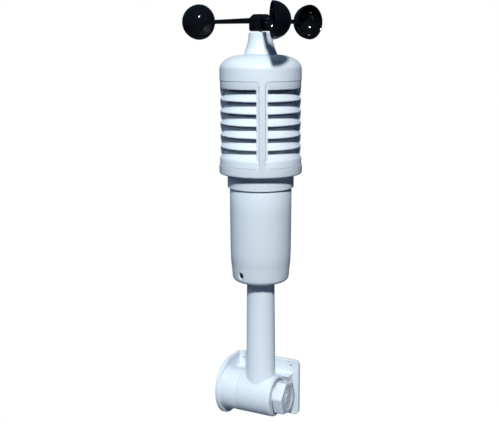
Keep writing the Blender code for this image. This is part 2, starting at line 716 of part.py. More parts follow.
def join_shells(made, other):
    """Puts another shell's mesh into an object, before a web joins them."""
    bm = bmesh.new()
    bm.from_mesh(made.data)
    bm.from_mesh(other.data)
    bm.to_mesh(made.data)
    bm.free()
    bpy.data.objects.remove(other, do_unlink=True)


def inner_screen():
    """Dark dust screen round the sensor chamber."""
    return turned("inner_screen", tube_profile(SCREEN_RADIUS - 1.0, SCREEN_RADIUS,
                                               BASE_FLOOR + 2.5 + GAP, 329.0),
                  head_axis, SCREEN, 40)


def shield_base():
    """Neck and floor that close the shield from below."""
    floor_top = BASE_FLOOR + 2.5
    wall_in = NECK_RADIUS - 2.2
    profile = [(5.0, BASE_FLOOR), (wall_in, BASE_FLOOR), (wall_in, NECK_FOOT), (NECK_RADIUS, NECK_FOOT),
               (NECK_RADIUS, BASE_FLOOR), (SHIELD_FOOT_RADIUS - SHIELD_WALL - GAP, BASE_FLOOR),
               (SHIELD_FOOT_RADIUS - SHIELD_WALL - GAP, floor_top), (5.0, floor_top)]
    base = turned("shield_base", profile, head_axis, WHITE, 42)
    top = CARRIER_CEILING + CARRIER_DISC + GAP
    for x in (-14, 14):
        fuse(base, rod("boss", (x, -14, top), (x, -14, BASE_FLOOR + 1), 3.4, segments=16),
             solver="MANIFOLD")
        cut(base, rod("pilot", (x, -14, top - 1), (x, -14, BASE_FLOOR - 4), 1.55, segments=12),
            solver="MANIFOLD")
    for angle in (-90 + HEAD_TURN, 90 + HEAD_TURN):
        cut(base, rod("hole", polar(35.2, angle, BASE_FLOOR - 1), polar(35.2, angle, floor_top + 1), 1.6,
                      segments=12), solver="MANIFOLD")
    return base


def screw(name, foot, length, up=True, parent=None, shank=1.0, head=2.4):
    """Small pan head screw standing on its point: the head lies at the far end from the point."""
    profile = [(0, 0), (shank, 0.6), (shank, length), (head, length), (head, length + 1.0),
               (head - 0.6, length + 1.6), (0, length + 1.6)]
    made = turned(name, profile, parent, STEEL, 10)
    if up:
        made.data.transform(Matrix.Rotation(pi, 4, "X"))
    made.data.transform(Matrix.Translation(Vector(foot) * MM))
    return made


def fastenings():
    """Screws that go up through the base, the carrier, the cap and the reed board."""
    front = -90 + HEAD_TURN
    for i, angle in enumerate((front, front + 180), 1):
        screw(f"base_screw_{i}", polar(35.2, angle, BASE_FLOOR + 7.5), 7.5 + GAP, True, head_axis)
    for i, x in enumerate((-14, 14), 1):
        screw(f"carrier_screw_{i}", (x, -14, CARRIER_CEILING + 11), 11 + GAP, True, head_axis, 1.2)
    for i in range(3):
        place = polar(TOWER_BOLT_CIRCLE, front + 60 + 120 * i)
        screw(f"tower_screw_{i + 1}", (place.x, place.y, CAP_TOP + 6.5), 6.5 + SHIELD_WALL + GAP, True,
              head_axis)
    for i, side in enumerate((90, 270), 1):
        screw(f"reed_screw_{i}", polar(12.6, front + side, 313.5), 313.5 - 307.0 + GAP, True, head_axis,
              0.9, 2.0)


def sensor_board():
    """Upright board that carries the temperature and humidity sensor."""
    return moved(box("sensor_board", (-9, -0.8, BASE_FLOOR + 2.5 + GAP), (9, 0.8, 288), head_axis, BOARD),
                 turn=HEAD_TURN)


def climate_sensor():
    made = box("climate_sensor", (-4, -0.8 - GAP - 3, 272), (4, -0.8 - GAP, 284), head_axis, WHITE)
    return moved(made, turn=HEAD_TURN)


def reed_board():
    made = turned("reed_board", [(0, 307.3), (15.5, 307.3), (15.5, 308.9), (0, 308.9)], head_axis, BOARD, 32)
    for side in (0, 180):
        cut(made, rod("hole", polar(12.6, HEAD_TURN + side, 305), polar(12.6, HEAD_TURN + side, 311), 1.2,
                      segments=12))
    return made


def reed_switch():
    """Glass reed switch lying under the magnet's path."""
    z = 308.9 + GAP + 1.2
    return moved(rod("reed_switch", (-6, 5, z), (6, 5, z), 1.2, head_axis, GLASS, 12), turn=HEAD_TURN)


# ---------------------------------------------------------------- tower and rotor

def tower_outline():
    """The tower's concave outer side, top to foot."""
    foot_z = CAP_TOP + GAP
    steps = 5
    side = []
    for i in range(steps + 1):
        part = i / steps
        z = TOWER_TOP - 1.0 - (TOWER_TOP - 1.0 - foot_z) * part
        side.append((11.4 + 4.9 * part ** 1.9, z))
    return [(10.6, TOWER_TOP)] + side


def bearing_tower():
    """Hollow cone on the cap, with the bearing tube inside it."""
    foot_z = CAP_TOP + GAP
    outer = tower_outline()
    tube = TOWER_TUBE_RADIUS
    bore = SHAFT_RADIUS + 1.5
    roof = TOWER_TOP - BUSH_LENGTH - 2.0
    inner = [(r - 2.0, z) for r, z in outer if z < roof - 1.0]
    profile = [(bore, TOWER_TOP)] + outer + inner[::-1]
    profile += [(outer[2][0] - 3.0, roof), (tube, roof), (tube, TOWER_TUBE_FOOT), (bore, TOWER_TUBE_FOOT)]
    tower = turned("bearing_tower", profile, head_axis, WHITE, 36)
    pocket = BUSH_RADIUS + GAP
    top_pocket = rod("pocket", (0, 0, TOWER_TOP - BUSH_LENGTH - GAP), (0, 0, TOWER_TOP + 1), pocket)
    low_pocket = rod("pocket", (0, 0, TOWER_TUBE_FOOT - 1), (0, 0, TOWER_TUBE_FOOT + BUSH_LENGTH + GAP), pocket)
    cut(tower, top_pocket, low_pocket, solver="MANIFOLD")
    front = -90 + HEAD_TURN
    for i in range(3):
        angle = front + 60 + 120 * i
        foot = polar(TOWER_BOLT_CIRCLE, angle, foot_z + GAP)
        fuse(tower, rod("boss", foot, foot + Vector((0, 0, 9.2)), 2.75, segments=16), solver="MANIFOLD")
        cut(tower, rod("pilot", foot - Vector((0, 0, 1)), foot + Vector((0, 0, 7.6)), 1.3, segments=12),
            solver="MANIFOLD")
    return tower


def shaft_bush(name, low):
    ring = tube_profile(SHAFT_RADIUS + SHAFT_CLEARANCE, BUSH_RADIUS, low, low + BUSH_LENGTH)
    return turned(name, ring, head_axis, BRASS, 32)


def rotor_shaft():
    low, high = TOWER_TUBE_FOOT - 8.6, HUB_TOP - 2.0
    r = SHAFT_RADIUS
    profile = [(0, low), (r - 0.3, low), (r, low + 0.3), (r, high - 0.3), (r - 0.3, high), (0, high)]
    return turned("rotor_shaft", profile, rotor_axis, STEEL, 32)


def magnet_holder():
    """Disc on the shaft's foot that swings the magnet over the reed switch."""
    high = TOWER_TUBE_FOOT - GAP
    low = high - 4.5
    made = turned("magnet_holder", tube_profile(SHAFT_RADIUS + GAP, 8.2, low, high), rotor_axis, BLACK, 32)
    return cut(made, rod("pocket", (5.0, 0, low - 1), (5.0, 0, low + 3.3), 2.3, segments=20))


def rotor_magnet():
    low = TOWER_TUBE_FOOT - GAP - 4.5
    return rod("rotor_magnet", (5.0, 0, low), (5.0, 0, low + 3.0), 2.0, rotor_axis, MAGNET, 20)


def arm_slot(angle):
    """Room in the hub for one arm's root."""
    half = ARM_WIDTH / 2 + GAP
    high = ARM_ROOT_HEIGHT / 2 + GAP
    tool = box("slot", (ARM_ROOT - GAP, -half, HUB_SPLIT - high), (HUB_RADIUS + 3, half, HUB_SPLIT + high))
    return moved(tool, turn=angle)


def arm_angles():
    return [ROTOR_ARM_TURN + 360 / ARM_COUNT * i for i in range(ARM_COUNT)]


def rotor_hub():
    """Lower half of the hub, which holds the arms' roots and the shaft."""
    r = HUB_RADIUS
    profile = [(SHAFT_RADIUS + 0.1, HUB_FOOT), (r - 1.6, HUB_FOOT), (r - 0.3, HUB_FOOT + 1.2), (r, HUB_FOOT + 3),
               (r, HUB_SPLIT - GAP / 2), (SHAFT_RADIUS + 0.1, HUB_SPLIT - GAP / 2)]
    hub = turned("rotor_hub", profile, rotor_axis, BLACK, 40)
    return cut(hub, *[arm_slot(angle) for angle in arm_angles()])


def hub_cap():
    """Chamfered upper half of the hub."""
    r = HUB_RADIUS
    profile = [(0, HUB_TOP - 1.7), (SHAFT_RADIUS + GAP, HUB_TOP - 1.7), (SHAFT_RADIUS + GAP, HUB_SPLIT + GAP / 2),
               (r, HUB_SPLIT + GAP / 2), (r, HUB_TOP - 3.6), (r - 3.8, HUB_TOP), (0, HUB_TOP)]
    cap = turned("hub_cap", profile, rotor_axis, BLACK, 40)
    return cut(cap, *[arm_slot(angle) for angle in arm_angles()])


def cup_arm(index, angle):
    """Tapered arm with its hemispherical cup, whose dome leads round the mast."""
    steps = 6
    outer = [(CUP_RADIUS * cos(pi / 2 * i / steps), CUP_RADIUS * sin(pi / 2 * i / steps))
             for i in range(steps + 1)]
    hollow = CUP_RADIUS - CUP_WALL
    inner = [(hollow * cos(pi / 2 * i / steps), hollow * sin(pi / 2 * i / steps)) for i in range(steps + 1)]
    rings = outer[:-1] + [(0, CUP_RADIUS), (0, hollow)] + inner[-2::-1]
    cup = turned(f"cup_arm_{index}", rings, rotor_axis, BLACK, 24)
    cup.data.transform(Matrix.Rotation(radians(-90), 4, "X"))
    moved(cup, x=CUP_CENTRE, z=-CUP_DROOP)
    reach = CUP_CENTRE - CUP_RADIUS + 1.1
    root, tip = ARM_ROOT_HEIGHT / 2, ARM_TIP_HEIGHT / 2
    outline = [(ARM_ROOT, -root), (HUB_RADIUS + 2, -root), (reach, -tip - CUP_DROOP),
               (reach, tip - CUP_DROOP), (HUB_RADIUS + 2, root), (ARM_ROOT, root)]
    arm = prism("arm", outline, -ARM_WIDTH / 2, ARM_WIDTH / 2)
    arm.data.transform(Matrix.Rotation(radians(90), 4, "X"))
    fuse(cup, arm)
    return moved(cup, z=HUB_SPLIT, turn=angle)


# ---------------------------------------------------------------- assembly

wall_bracket()
pivot_bolt()
knob_washer()
clamp_knob()
knob_nut()
mast_pole()
swivel_screw()
swivel_washer()
battery_sleeve()
sleeve_screw()
battery_carrier()
cell(1, -CELL_X, True)
cell(2, CELL_X, False)
cell_spring(1, -CELL_X, True)
cell_spring(2, CELL_X, False)
cell_contact(1, -CELL_X, False)
cell_contact(2, CELL_X, True)
main_board()
radio_module()
antenna()
button_body()
reset_button()
status_lamp()
seal_ring()
shield_frame()
louvre_panel("louvre_panel_right", -90 + HEAD_TURN)
louvre_panel("louvre_panel_left", 90 + HEAD_TURN)
inner_screen()
shield_base()
fastenings()
sensor_board()
climate_sensor()
reed_board()
reed_switch()
bearing_tower()
shaft_bush("upper_bush", TOWER_TOP - BUSH_LENGTH)
shaft_bush("lower_bush", TOWER_TUBE_FOOT)
rotor_shaft()
magnet_holder()
rotor_magnet()
rotor_hub()
hub_cap()
for number, arm_angle in enumerate(arm_angles(), 1):
    cup_arm(number, arm_angle)
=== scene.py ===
"""Cup anemometer: the finished look of the model, built in the model's own frame.

Lengths are in millimetres and are drawn round the mast, as in the model: Z up the mast, X along
the pivot barrel towards the clamp knob.  seat() turns them into metres and moves them to the
model's origin on the wall.
"""

import json
from math import cos, pi, radians, sin, sqrt

import bmesh
import bpy
from mathutils import Matrix, Vector

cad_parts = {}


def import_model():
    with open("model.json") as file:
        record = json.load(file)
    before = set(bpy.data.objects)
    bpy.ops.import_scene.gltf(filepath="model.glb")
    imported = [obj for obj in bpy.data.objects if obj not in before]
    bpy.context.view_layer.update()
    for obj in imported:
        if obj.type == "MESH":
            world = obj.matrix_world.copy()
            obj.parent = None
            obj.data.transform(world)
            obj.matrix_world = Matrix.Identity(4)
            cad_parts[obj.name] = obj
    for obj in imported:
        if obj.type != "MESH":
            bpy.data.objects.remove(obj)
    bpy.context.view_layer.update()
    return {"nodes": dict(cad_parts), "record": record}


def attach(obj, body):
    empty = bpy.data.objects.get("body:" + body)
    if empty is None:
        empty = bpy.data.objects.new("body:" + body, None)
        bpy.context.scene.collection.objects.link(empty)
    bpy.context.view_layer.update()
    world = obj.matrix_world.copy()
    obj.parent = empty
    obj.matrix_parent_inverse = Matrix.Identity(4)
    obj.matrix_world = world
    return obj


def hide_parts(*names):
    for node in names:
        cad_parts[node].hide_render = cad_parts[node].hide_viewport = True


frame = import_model()

MM = 0.001
GAP = 0.3
MAST_OFF_WALL = 31.5

# Wall bracket
PLATE_LEFT = -42.0
PLATE_RIGHT = 30.5
PLATE_HALF_HEIGHT = 30.0
PLATE_FRONT = 27.0
PLATE_BACK = 31.5
PLATE_CORNER = 5.0
PLATE_RIM = 1.8
TRAY_DEPTH = 0.6
TRAY_CORNER = 3.2
MOULDED_EDGE = 0.7
GUSSET_INNER = -38.0
GUSSET_RADIUS = 30.0
GUSSET_CENTRE = 7.5
GUSSET_TRAY_DEPTH = 0.4
SCREW_HOLE_RADIUS = 1.6
SCREW_HOLES_X = (21.5, -33.0)
SCREW_HOLE_Z = 23.7
SADDLE_RIGHT = 24.0
SADDLE_HALF_HEIGHT = 15.5
SADDLE_FRONT = 8.0
SADDLE_CLEARANCE = 0.8
BOSS_TUBE_RADIUS = 7.0
BOSS_BORE_RADIUS = 17.5
BARREL_RADIUS = 21.3
BARREL_HALF_LENGTH = 19.0
BOLT_RADIUS = 3.0
BOLT_HEAD_RADIUS = 6.5
BOLT_HEAD_HEIGHT = 4.0
BOLT_END = 28.6
BOLT_SLOT_WIDTH = 1.4
BOLT_SLOT_LENGTH = 8.0
BOLT_SLOT_DEPTH = 1.6

# Clamp knob
KNOB_START = 20.8
KNOB_END = 31.2
KNOB_TURN = -13.0
KNOB_CORNER_CENTRE = 14.6
KNOB_CORNER_ROUND = 3.1
KNOB_EDGE = 1.1
NUT_ROOM_RADIUS = 6.1
NUT_ROOM_DEPTH = 5.4

# Mast
POLE_FOOT_RADIUS = 15.1
POLE_DRAFT = 0.0098
POLE_TOP = 150.0
POLE_BORE = 11.0
POLE_ROOF = 12.0
PILOT_RADIUS = 2.0
ROOT_FILLET = 1.8
BARREL_EDGE = 2.4
BARREL_RECESS = (9.6, 18.4)
BARREL_RECESS_DEPTH = 1.8
BOLT_TUBE_RADIUS = 7.0

# Battery sleeve
SLEEVE_TOP = 217.0
SLEEVE_BOTTOM = 122.5
SLEEVE_HOLE_RADIUS = 15.45
SLEEVE_WALL = 2.0
SLEEVE_SCREW_Z = 131.3
SLEEVE_SCREW_TURN = -107.0
SCREW_HEAD_RADIUS = 2.9
SCREW_SHANK_RADIUS = 1.4
SCREW_TIP_REACH = 20.6
SCREW_SEAT_REACH = 26.4
SCREW_CROSS = (3.4, 0.8)
SCREW_BOSS_RADIUS = 4.6
SCREW_WELL_REACH = 26.1
SCREW_CLEARANCE_RADIUS = 1.7

# Shield
HEAD_TURN = 28.3
SHIELD_TOP_RADIUS = 39.6
SHIELD_FOOT_RADIUS = 40.6
SHIELD_FOOT = 231.2
SHIELD_WALL = 2.2
CAP_FLAT_RADIUS = 16.5
CAP_TOP = 345.4
CAP_DEPTH = 13.4
CAP_BORE = 6.7
WINDOW_TOP = 321.5
WINDOW_BOTTOM = 240.2
WINDOW_CORNER = 4.4
PILLAR_HALF_ANGLE = 4.0
STRIP_ANGLE = 3.2
LIP_TOP = 313.9
LIP_PITCH = 11.34
LOUVRE_COUNT = 5
LIP_RADIUS = 39.2
PANEL_GAP_ANGLE = 0.6
PANEL_SKIN = 1.6
STRIP_INNER = 36.2
SCREEN_FACE = 30.9
END_WALL_OUTER = 37.0
END_WALL_ANGLE = 1.8
WEB_ANGLE = 2.4
NECK_RADIUS = 32.6
NECK_FOOT = 217.3
BASE_FLOOR = 233.0
BASE_BORE = 5.0
BASE_THICKNESS = 2.5

# Tower and rotor
TOWER_TOP = 366.6
TOWER_TOP_RADIUS = 11.4
TOWER_FLARE = 4.9
TOWER_CURVE = 1.9
ROTOR_ARM_TURN = 185.5
HUB_RADIUS = 11.0
HUB_FOOT = 367.4
HUB_SPLIT = 377.2
HUB_TOP = 383.2
SHAFT_HOLE_RADIUS = 1.6
SHAFT_POCKET_RADIUS = 1.8
SHAFT_POCKET_DEPTH = 1.7
ARM_ROOT_HEIGHT = 5.2
ARM_TIP_HEIGHT = 3.9
ARM_WIDTH = 3.4
ARM_ROOT = 3.6
CUP_CENTRE = 64.0
CUP_DROOP = 0.7
CUP_RADIUS = 16.9
CUP_WALL = 1.3
CUP_BEAD = 0.12

# Small parts on the main board, in front of its face
BOARD_FACE = -5.65


# ---------------------------------------------------------------- shapes

def mesh_object(name, bm):
    """A bmesh drawn in millimetres as an object, its faces turned outwards."""
    bmesh.ops.recalc_face_normals(bm, faces=bm.faces)
    mesh = bpy.data.meshes.new(name)
    bm.to_mesh(mesh)
    bm.free()
    made = bpy.data.objects.new(name, mesh)
    bpy.context.scene.collection.objects.link(made)
    return made


def solid(name, points, faces):
    """A piece from its corners and faces."""
    bm = bmesh.new()
    verts = [bm.verts.new(p) for p in points]
    for face in faces:
        bm.faces.new([verts[i] for i in face])
    bmesh.ops.remove_doubles(bm, verts=bm.verts, dist=1e-4)
    return mesh_object(name, bm)


def turned(name, profile, segments=128, start=0.0, sweep=360.0):
    """Spins a closed outline of (radius, height) points about Z."""
    bm = bmesh.new()
    turn = Matrix.Rotation(radians(start), 3, "Z")
    points = [bm.verts.new(turn @ Vector((r, 0.0, z))) for r, z in profile]
    whole = sweep > 359.9
    if whole:
        pairs = zip(range(len(profile)), [*range(1, len(profile)), 0])
        geometry = [
            bm.edges.new((points[a], points[b]))
            for a, b in pairs
            if profile[a][0] > 0 or profile[b][0] > 0
        ]
    else:
        geometry = [bm.faces.new(points)]
    bmesh.ops.spin(
        bm, geom=geometry, cent=(0, 0, 0), axis=(0, 0, 1), dvec=(0, 0, 0),
        angle=radians(sweep), steps=segments, use_merge=whole,
    )
    bmesh.ops.remove_doubles(bm, verts=bm.verts, dist=1e-5)
    return mesh_object(name, bm)


def prism(name, outline, low, high, axis="Z"):
    """Extrudes an outline along Z, or along X with the outline in the Y, Z plane."""
    count = len(outline)
    if axis == "Z":
        points = [(a, b, level) for level in (low, high) for a, b in outline]
    else:
        points = [(level, a, b) for level in (low, high) for a, b in outline]
    sides = [(i, (i + 1) % count, count + (i + 1) % count, count + i) for i in range(count)]
    return solid(name, points, [tuple(range(count)), tuple(range(count, 2 * count)), *sides])


def block(name, low, high):
    """A box between two opposite corners."""
    return prism(name, [(low[0], low[1]), (high[0], low[1]), (high[0], high[1]), (low[0], high[1])],
                 low[2], high[2])


def rod(name, start, end, radius, segments=48):
    """A round bar between two points."""
    start, end = Vector(start), Vector(end)
    length = (end - start).length
    made = turned(name, [(0, 0), (radius, 0), (radius, length), (0, length)], segments)
    aim = (end - start).to_track_quat("Z", "Y").to_matrix().to_4x4()
    made.data.transform(Matrix.Translation(start) @ aim)
    return made


def along_x(made):
    """Lays a piece turned about Z on the X axis."""
    made.data.transform(Matrix.Rotation(radians(90), 4, "Y"))
    return made


def upright(made):
    """Stands a piece drawn flat on its edge, so that its depth runs forwards along Y."""
    made.data.transform(Matrix.Rotation(radians(90), 4, "X"))
    return made


def aimed(made, reach, angle, z):
    """Points a piece turned about Z outwards from the mast."""
    aim = polar(1, angle).to_track_quat("Z", "Y").to_matrix().to_4x4()
    made.data.transform(Matrix.Translation(polar(reach, angle, z)) @ aim)
    return made


def moved(made, x=0.0, y=0.0, z=0.0, turn=0.0):
    """Shifts a piece, then turns it round the mast."""
    made.data.transform(Matrix.Translation((x, y, z)))
    made.data.transform(Matrix.Rotation(radians(turn), 4, "Z"))
    return made


def arc(centre_a, centre_b, radius, start, end, steps):
    """Points on a circle, from one angle to another in degrees."""
    angles = [radians(start + (end - start) * i / steps) for i in range(steps + 1)]
    return [(centre_a + radius * cos(t), centre_b + radius * sin(t)) for t in angles]


def rounded_rectangle(a0, a1, b0, b1, radius, steps=8):
    """A rectangle's outline with round corners."""
    return (
        arc(a1 - radius, b1 - radius, radius, 0, 90, steps)
        + arc(a0 + radius, b1 - radius, radius, 90, 180, steps)
        + arc(a0 + radius, b0 + radius, radius, 180, 270, steps)
        + arc(a1 - radius, b0 + radius, radius, 270, 360, steps)
    )


def tube(inner, outer, low, high):
    """A plain tube's section."""
    return [(inner, low), (outer, low), (outer, high), (inner, high)]


def rounded_tube(inner, outer, low, high, edge=0.3):
    """A tube's section with its outer edges broken."""
    e = edge
    return [(inner, low), (outer - e, low), (outer - 0.3 * e, low + 0.3 * e), (outer, low + e),
            (outer, high - e), (outer - 0.3 * e, high - 0.3 * e), (outer - e, high), (inner, high)]


def polar(radius, angle, z=0.0):
    """A point at a distance from the mast, at an angle round it."""
    return Vector((radius * cos(radians(angle)), radius * sin(radians(angle)), z))


def bent_block(name, inner, outer, start, sweep, low, high, corner, steps=48):
    """A block bent round the mast, its four corners rounded as seen from outside."""
    across = corner / ((inner + outer) / 2) * 180 / pi
    columns = []
    for i in range(7):
        t = pi / 2 * i / 6
        columns.append((across * (1 - cos(t)), corner * (1 - sin(t))))
    middle = [(across + (sweep - 2 * across) * i / steps, 0.0) for i in range(1, steps)]
    columns = columns + middle + [(sweep - a, d) for a, d in columns[::-1]]
    points = []
    for a, drop in columns:
        for r, z in tube(inner, outer, low + drop, high - drop):
            points.append(polar(r, start + a, z))
    faces = [(0, 1, 2, 3)]
    for k in range(len(columns) - 1):
        n = 4 * k
        for j in range(4):
            faces.append((n + j, n + (j + 1) % 4, n + 4 + (j + 1) % 4, n + 4 + j))
    last = 4 * (len(columns) - 1)
    faces.append((last, last + 1, last + 2, last + 3))
    return solid(name, points, faces)


def baked(made):
    """Puts the result of an object's modifiers into its mesh and removes them."""
    bpy.context.view_layer.update()
    result = bpy.data.meshes.new_from_object(
        made.evaluated_get(bpy.context.evaluated_depsgraph_get())
    )
    made.modifiers.clear()
    made.data = result
    result.name = made.name
    return made


def combined(made, tools, operation):
    """Works each tool into a piece in turn and throws the tool away."""
    for tool in tools:
        step = made.modifiers.new("shape", "BOOLEAN")
        step.operation = operation
        step.solver = "EXACT"
        step.object = tool
        baked(made)
        bpy.data.objects.remove(tool, do_unlink=True)
    return made


def cut(made, *tools):
    """Takes the tools' shapes out of a piece."""
    return combined(made, tools, "DIFFERENCE")


def fuse(made, *tools):
    """Joins the tools to a piece as one closed shell."""
    return combined(made, tools, "UNION")


def together(made, *others):
    """Adds closed shells to a piece without merging their surfaces."""
    bm = bmesh.new()
    bm.from_mesh(made.data)
    for other in others:
        bm.from_mesh(other.data)
        bpy.data.objects.remove(other, do_unlink=True)
    bm.to_mesh(made.data)
    bm.free()
    return made


def softened(made, width, steps=2, angle=35):
    """Breaks the sharp edges."""
    step = made.modifiers.new("edge", "BEVEL")
    step.width = width
    step.segments = steps
    step.limit_method = "ANGLE"
    step.angle_limit = radians(angle)
    return baked(made)


def seat(made, body, slot, *nodes, smooth=32):
    """Finishes a piece: metres, the model's origin, smooth faces, its body and what it stands for."""
    made.data.transform(Matrix.Scale(MM, 4))
    made.data.transform(Matrix.Translation((0, -MAST_OFF_WALL * MM, 0)))
    made.data.shade_smooth()
    made.data.set_sharp_from_angle(angle=radians(smooth))
    made.data.materials.clear()
    made.data.materials.append(FINISH[slot])
    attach(made, body)
    if nodes:
        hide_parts(*nodes)
    return made


# ---------------------------------------------------------------- finishes

def surface_group():
    """Shared wear: mottling, dust and fine grain over an object, each from 0 to 1."""
    group = bpy.data.node_groups.new("surface_wear", "ShaderNodeTree")
    face = group.interface
    face.new_socket("Position", in_out="INPUT", socket_type="NodeSocketVector")
    size = face.new_socket("Patch size", in_out="INPUT", socket_type="NodeSocketFloat")
    size.default_value = 1.0
    fine = face.new_socket("Grain size", in_out="INPUT", socket_type="NodeSocketFloat")
    fine.default_value = 1.0
    for name in ("Mottle", "Dust", "Grain"):
        face.new_socket(name, in_out="OUTPUT", socket_type="NodeSocketFloat")
    nodes, links = group.nodes, group.links
    start = nodes.new("NodeGroupInput")
    end = nodes.new("NodeGroupOutput")

    def noise(scale_by, scale, detail, name):
        made = nodes.new("ShaderNodeTexNoise")
        made.label = name
        made.inputs["Detail"].default_value = detail
        times = nodes.new("ShaderNodeMath")
        times.operation = "MULTIPLY"
        times.inputs[1].default_value = scale
        links.new(start.outputs[scale_by], times.inputs[0])
        links.new(times.outputs[0], made.inputs["Scale"])
        links.new(start.outputs["Position"], made.inputs["Vector"])
        return made

    def spread(value, low, high):
        made = nodes.new("ShaderNodeMapRange")
        made.inputs["From Min"].default_value = low
        made.inputs["From Max"].default_value = high
        links.new(value, made.inputs["Value"])
        return made.outputs["Result"]

    links.new(spread(noise("Patch size", 26.0, 3.0, "patches").outputs["Fac"], 0.3, 0.7),
              end.inputs["Mottle"])
    links.new(spread(noise("Patch size", 90.0, 6.0, "dust").outputs["Fac"], 0.52, 0.78),
              end.inputs["Dust"])
    links.new(spread(noise("Grain size", 1500.0, 2.0, "grain").outputs["Fac"], 0.2, 0.8),
              end.inputs["Grain"])
    return group


SURFACE = surface_group()


def finish(name, light, dark, roughness, metallic=0.0, relief=0.02, coat=0.0, patch=1.0, specular=0.5):
    """A finish that varies between two colours and two roughnesses over the piece."""
    made = bpy.data.materials.new(name)
    made.use_nodes = True
    nodes, links = made.node_tree.nodes, made.node_tree.links
    shader = nodes["Principled BSDF"]
    where = nodes.new("ShaderNodeTexCoord")
    wear = nodes.new("ShaderNodeGroup")
    wear.node_tree = SURFACE
    wear.inputs["Patch size"].default_value = patch
    wear.inputs["Grain size"].default_value = patch
    links.new(where.outputs["Object"], wear.inputs["Position"])
    colour = nodes.new("ShaderNodeValToRGB")
    colour.color_ramp.elements[0].color = (*dark, 1.0)
    colour.color_ramp.elements[1].color = (*light, 1.0)
    links.new(wear.outputs["Mottle"], colour.inputs["Fac"])
    links.new(colour.outputs["Color"], shader.inputs["Base Color"])
    rough = nodes.new("ShaderNodeMapRange")
    rough.inputs["To Min"].default_value = roughness[0]
    rough.inputs["To Max"].default_value = roughness[1]
    links.new(wear.outputs["Dust"], rough.inputs["Value"])
    links.new(rough.outputs["Result"], shader.inputs["Roughness"])
    bump = nodes.new("ShaderNodeBump")
    bump.inputs["Strength"].default_value = relief
    bump.inputs["Distance"].default_value = 0.0002
    links.new(wear.outputs["Grain"], bump.inputs["Height"])
    links.new(bump.outputs["Normal"], shader.inputs["Normal"])
    shader.inputs["Metallic"].default_value = metallic
    shader.inputs["Specular IOR Level"].default_value = specular
    shader.inputs["Coat Weight"].default_value = coat
    shader.inputs["Coat Roughness"].default_value = 0.06
    return made


FINISH = {
    "white_asa": finish("white_asa", (0.845, 0.87, 0.9), (0.81, 0.845, 0.885), (0.48, 0.58), relief=0.05),
    "gloss_black": finish("gloss_black", (0.006, 0.006, 0.007), (0.003, 0.003, 0.004), (0.08, 0.14),
                          specular=0.35),
    "core_grey": finish("core_grey", (0.32, 0.34, 0.36), (0.27, 0.29, 0.31), (0.45, 0.6), relief=0.1),
    "steel": finish("steel", (0.66, 0.66, 0.66), (0.5, 0.5, 0.51), (0.2, 0.34), 1.0, 0.08),
    "brass": finish("brass", (0.78, 0.58, 0.29), (0.66, 0.47, 0.2), (0.22, 0.4), 1.0, 0.08),
    "nickel": finish("nickel", (0.72, 0.7, 0.66), (0.6, 0.58, 0.54), (0.2, 0.35), 1.0, 0.05),
    "circuit_board": finish("circuit_board", (0.02, 0.24, 0.1), (0.012, 0.15, 0.06), (0.3, 0.5), patch=2.0),
    "rubber": finish("rubber", (0.03, 0.03, 0.03), (0.015, 0.015, 0.015), (0.6, 0.85), relief=0.3),
    "cell_wrap": finish("cell_wrap", (0.06, 0.18, 0.55), (0.04, 0.12, 0.4), (0.2, 0.4), coat=0.4),
    "magnet": finish("magnet", (0.13, 0.13, 0.14), (0.07, 0.07, 0.08), (0.45, 0.7), relief=0.3),
    "lamp_glass": finish("lamp_glass", (0.6, 0.8, 0.7), (0.5, 0.72, 0.62), (0.05, 0.12), coat=1.0),
    # The screen's dark purple-blue is painted shade: it stands for the shade seen in the louvre slots, not
    # for the screen's own colour.
    "screen": finish("screen", (0.3, 0.3, 0.52), (0.22, 0.22, 0.4), (0.7, 0.9), relief=0.5),
    "red_plastic": finish("red_plastic", (0.6, 0.03, 0.02), (0.45, 0.02, 0.014), (0.25, 0.4)),
}


# ---------------------------------------------------------------- repeats

def repeat_group(name, **settings):
    """Starts a repeat: its named inputs, copies of the piece on points, made real and given a finish."""
    group = bpy.data.node_groups.new(name, "GeometryNodeTree")
    face = group.interface
    face.new_socket("Geometry", in_out="INPUT", socket_type="NodeSocketGeometry")
    for label, kind in settings.items():
        face.new_socket(label.replace("_", " "), in_out="INPUT", socket_type="NodeSocket" + kind)
    face.new_socket("Finish", in_out="INPUT", socket_type="NodeSocketMaterial")
    face.new_socket("Geometry", in_out="OUTPUT", socket_type="NodeSocketGeometry")
    nodes, links = group.nodes, group.links
    start, end = nodes.new("NodeGroupInput"), nodes.new("NodeGroupOutput")
    copies = nodes.new("GeometryNodeInstanceOnPoints")
    real = nodes.new("GeometryNodeRealizeInstances")
    paint = nodes.new("GeometryNodeSetMaterial")
    links.new(start.outputs["Geometry"], copies.inputs["Instance"])
    links.new(copies.outputs["Instances"], real.inputs["Geometry"])
    links.new(real.outputs["Geometry"], paint.inputs["Geometry"])
    links.new(start.outputs["Finish"], paint.inputs["Material"])
    links.new(paint.outputs["Geometry"], end.inputs["Geometry"])
    return group, start, copies


def stack_group():
    """Repeats a piece in a straight column: how many, and how far apart."""
    group, start, copies = repeat_group("column_of_slats", Count="Int", Step="Vector")
    nodes, links = group.nodes, group.links
    line = nodes.new("GeometryNodeMeshLine")
    links.new(start.outputs["Count"], line.inputs["Count"])
    links.new(start.outputs["Step"], line.inputs["Offset"])
    links.new(line.outputs["Mesh"], copies.inputs["Points"])
    return group


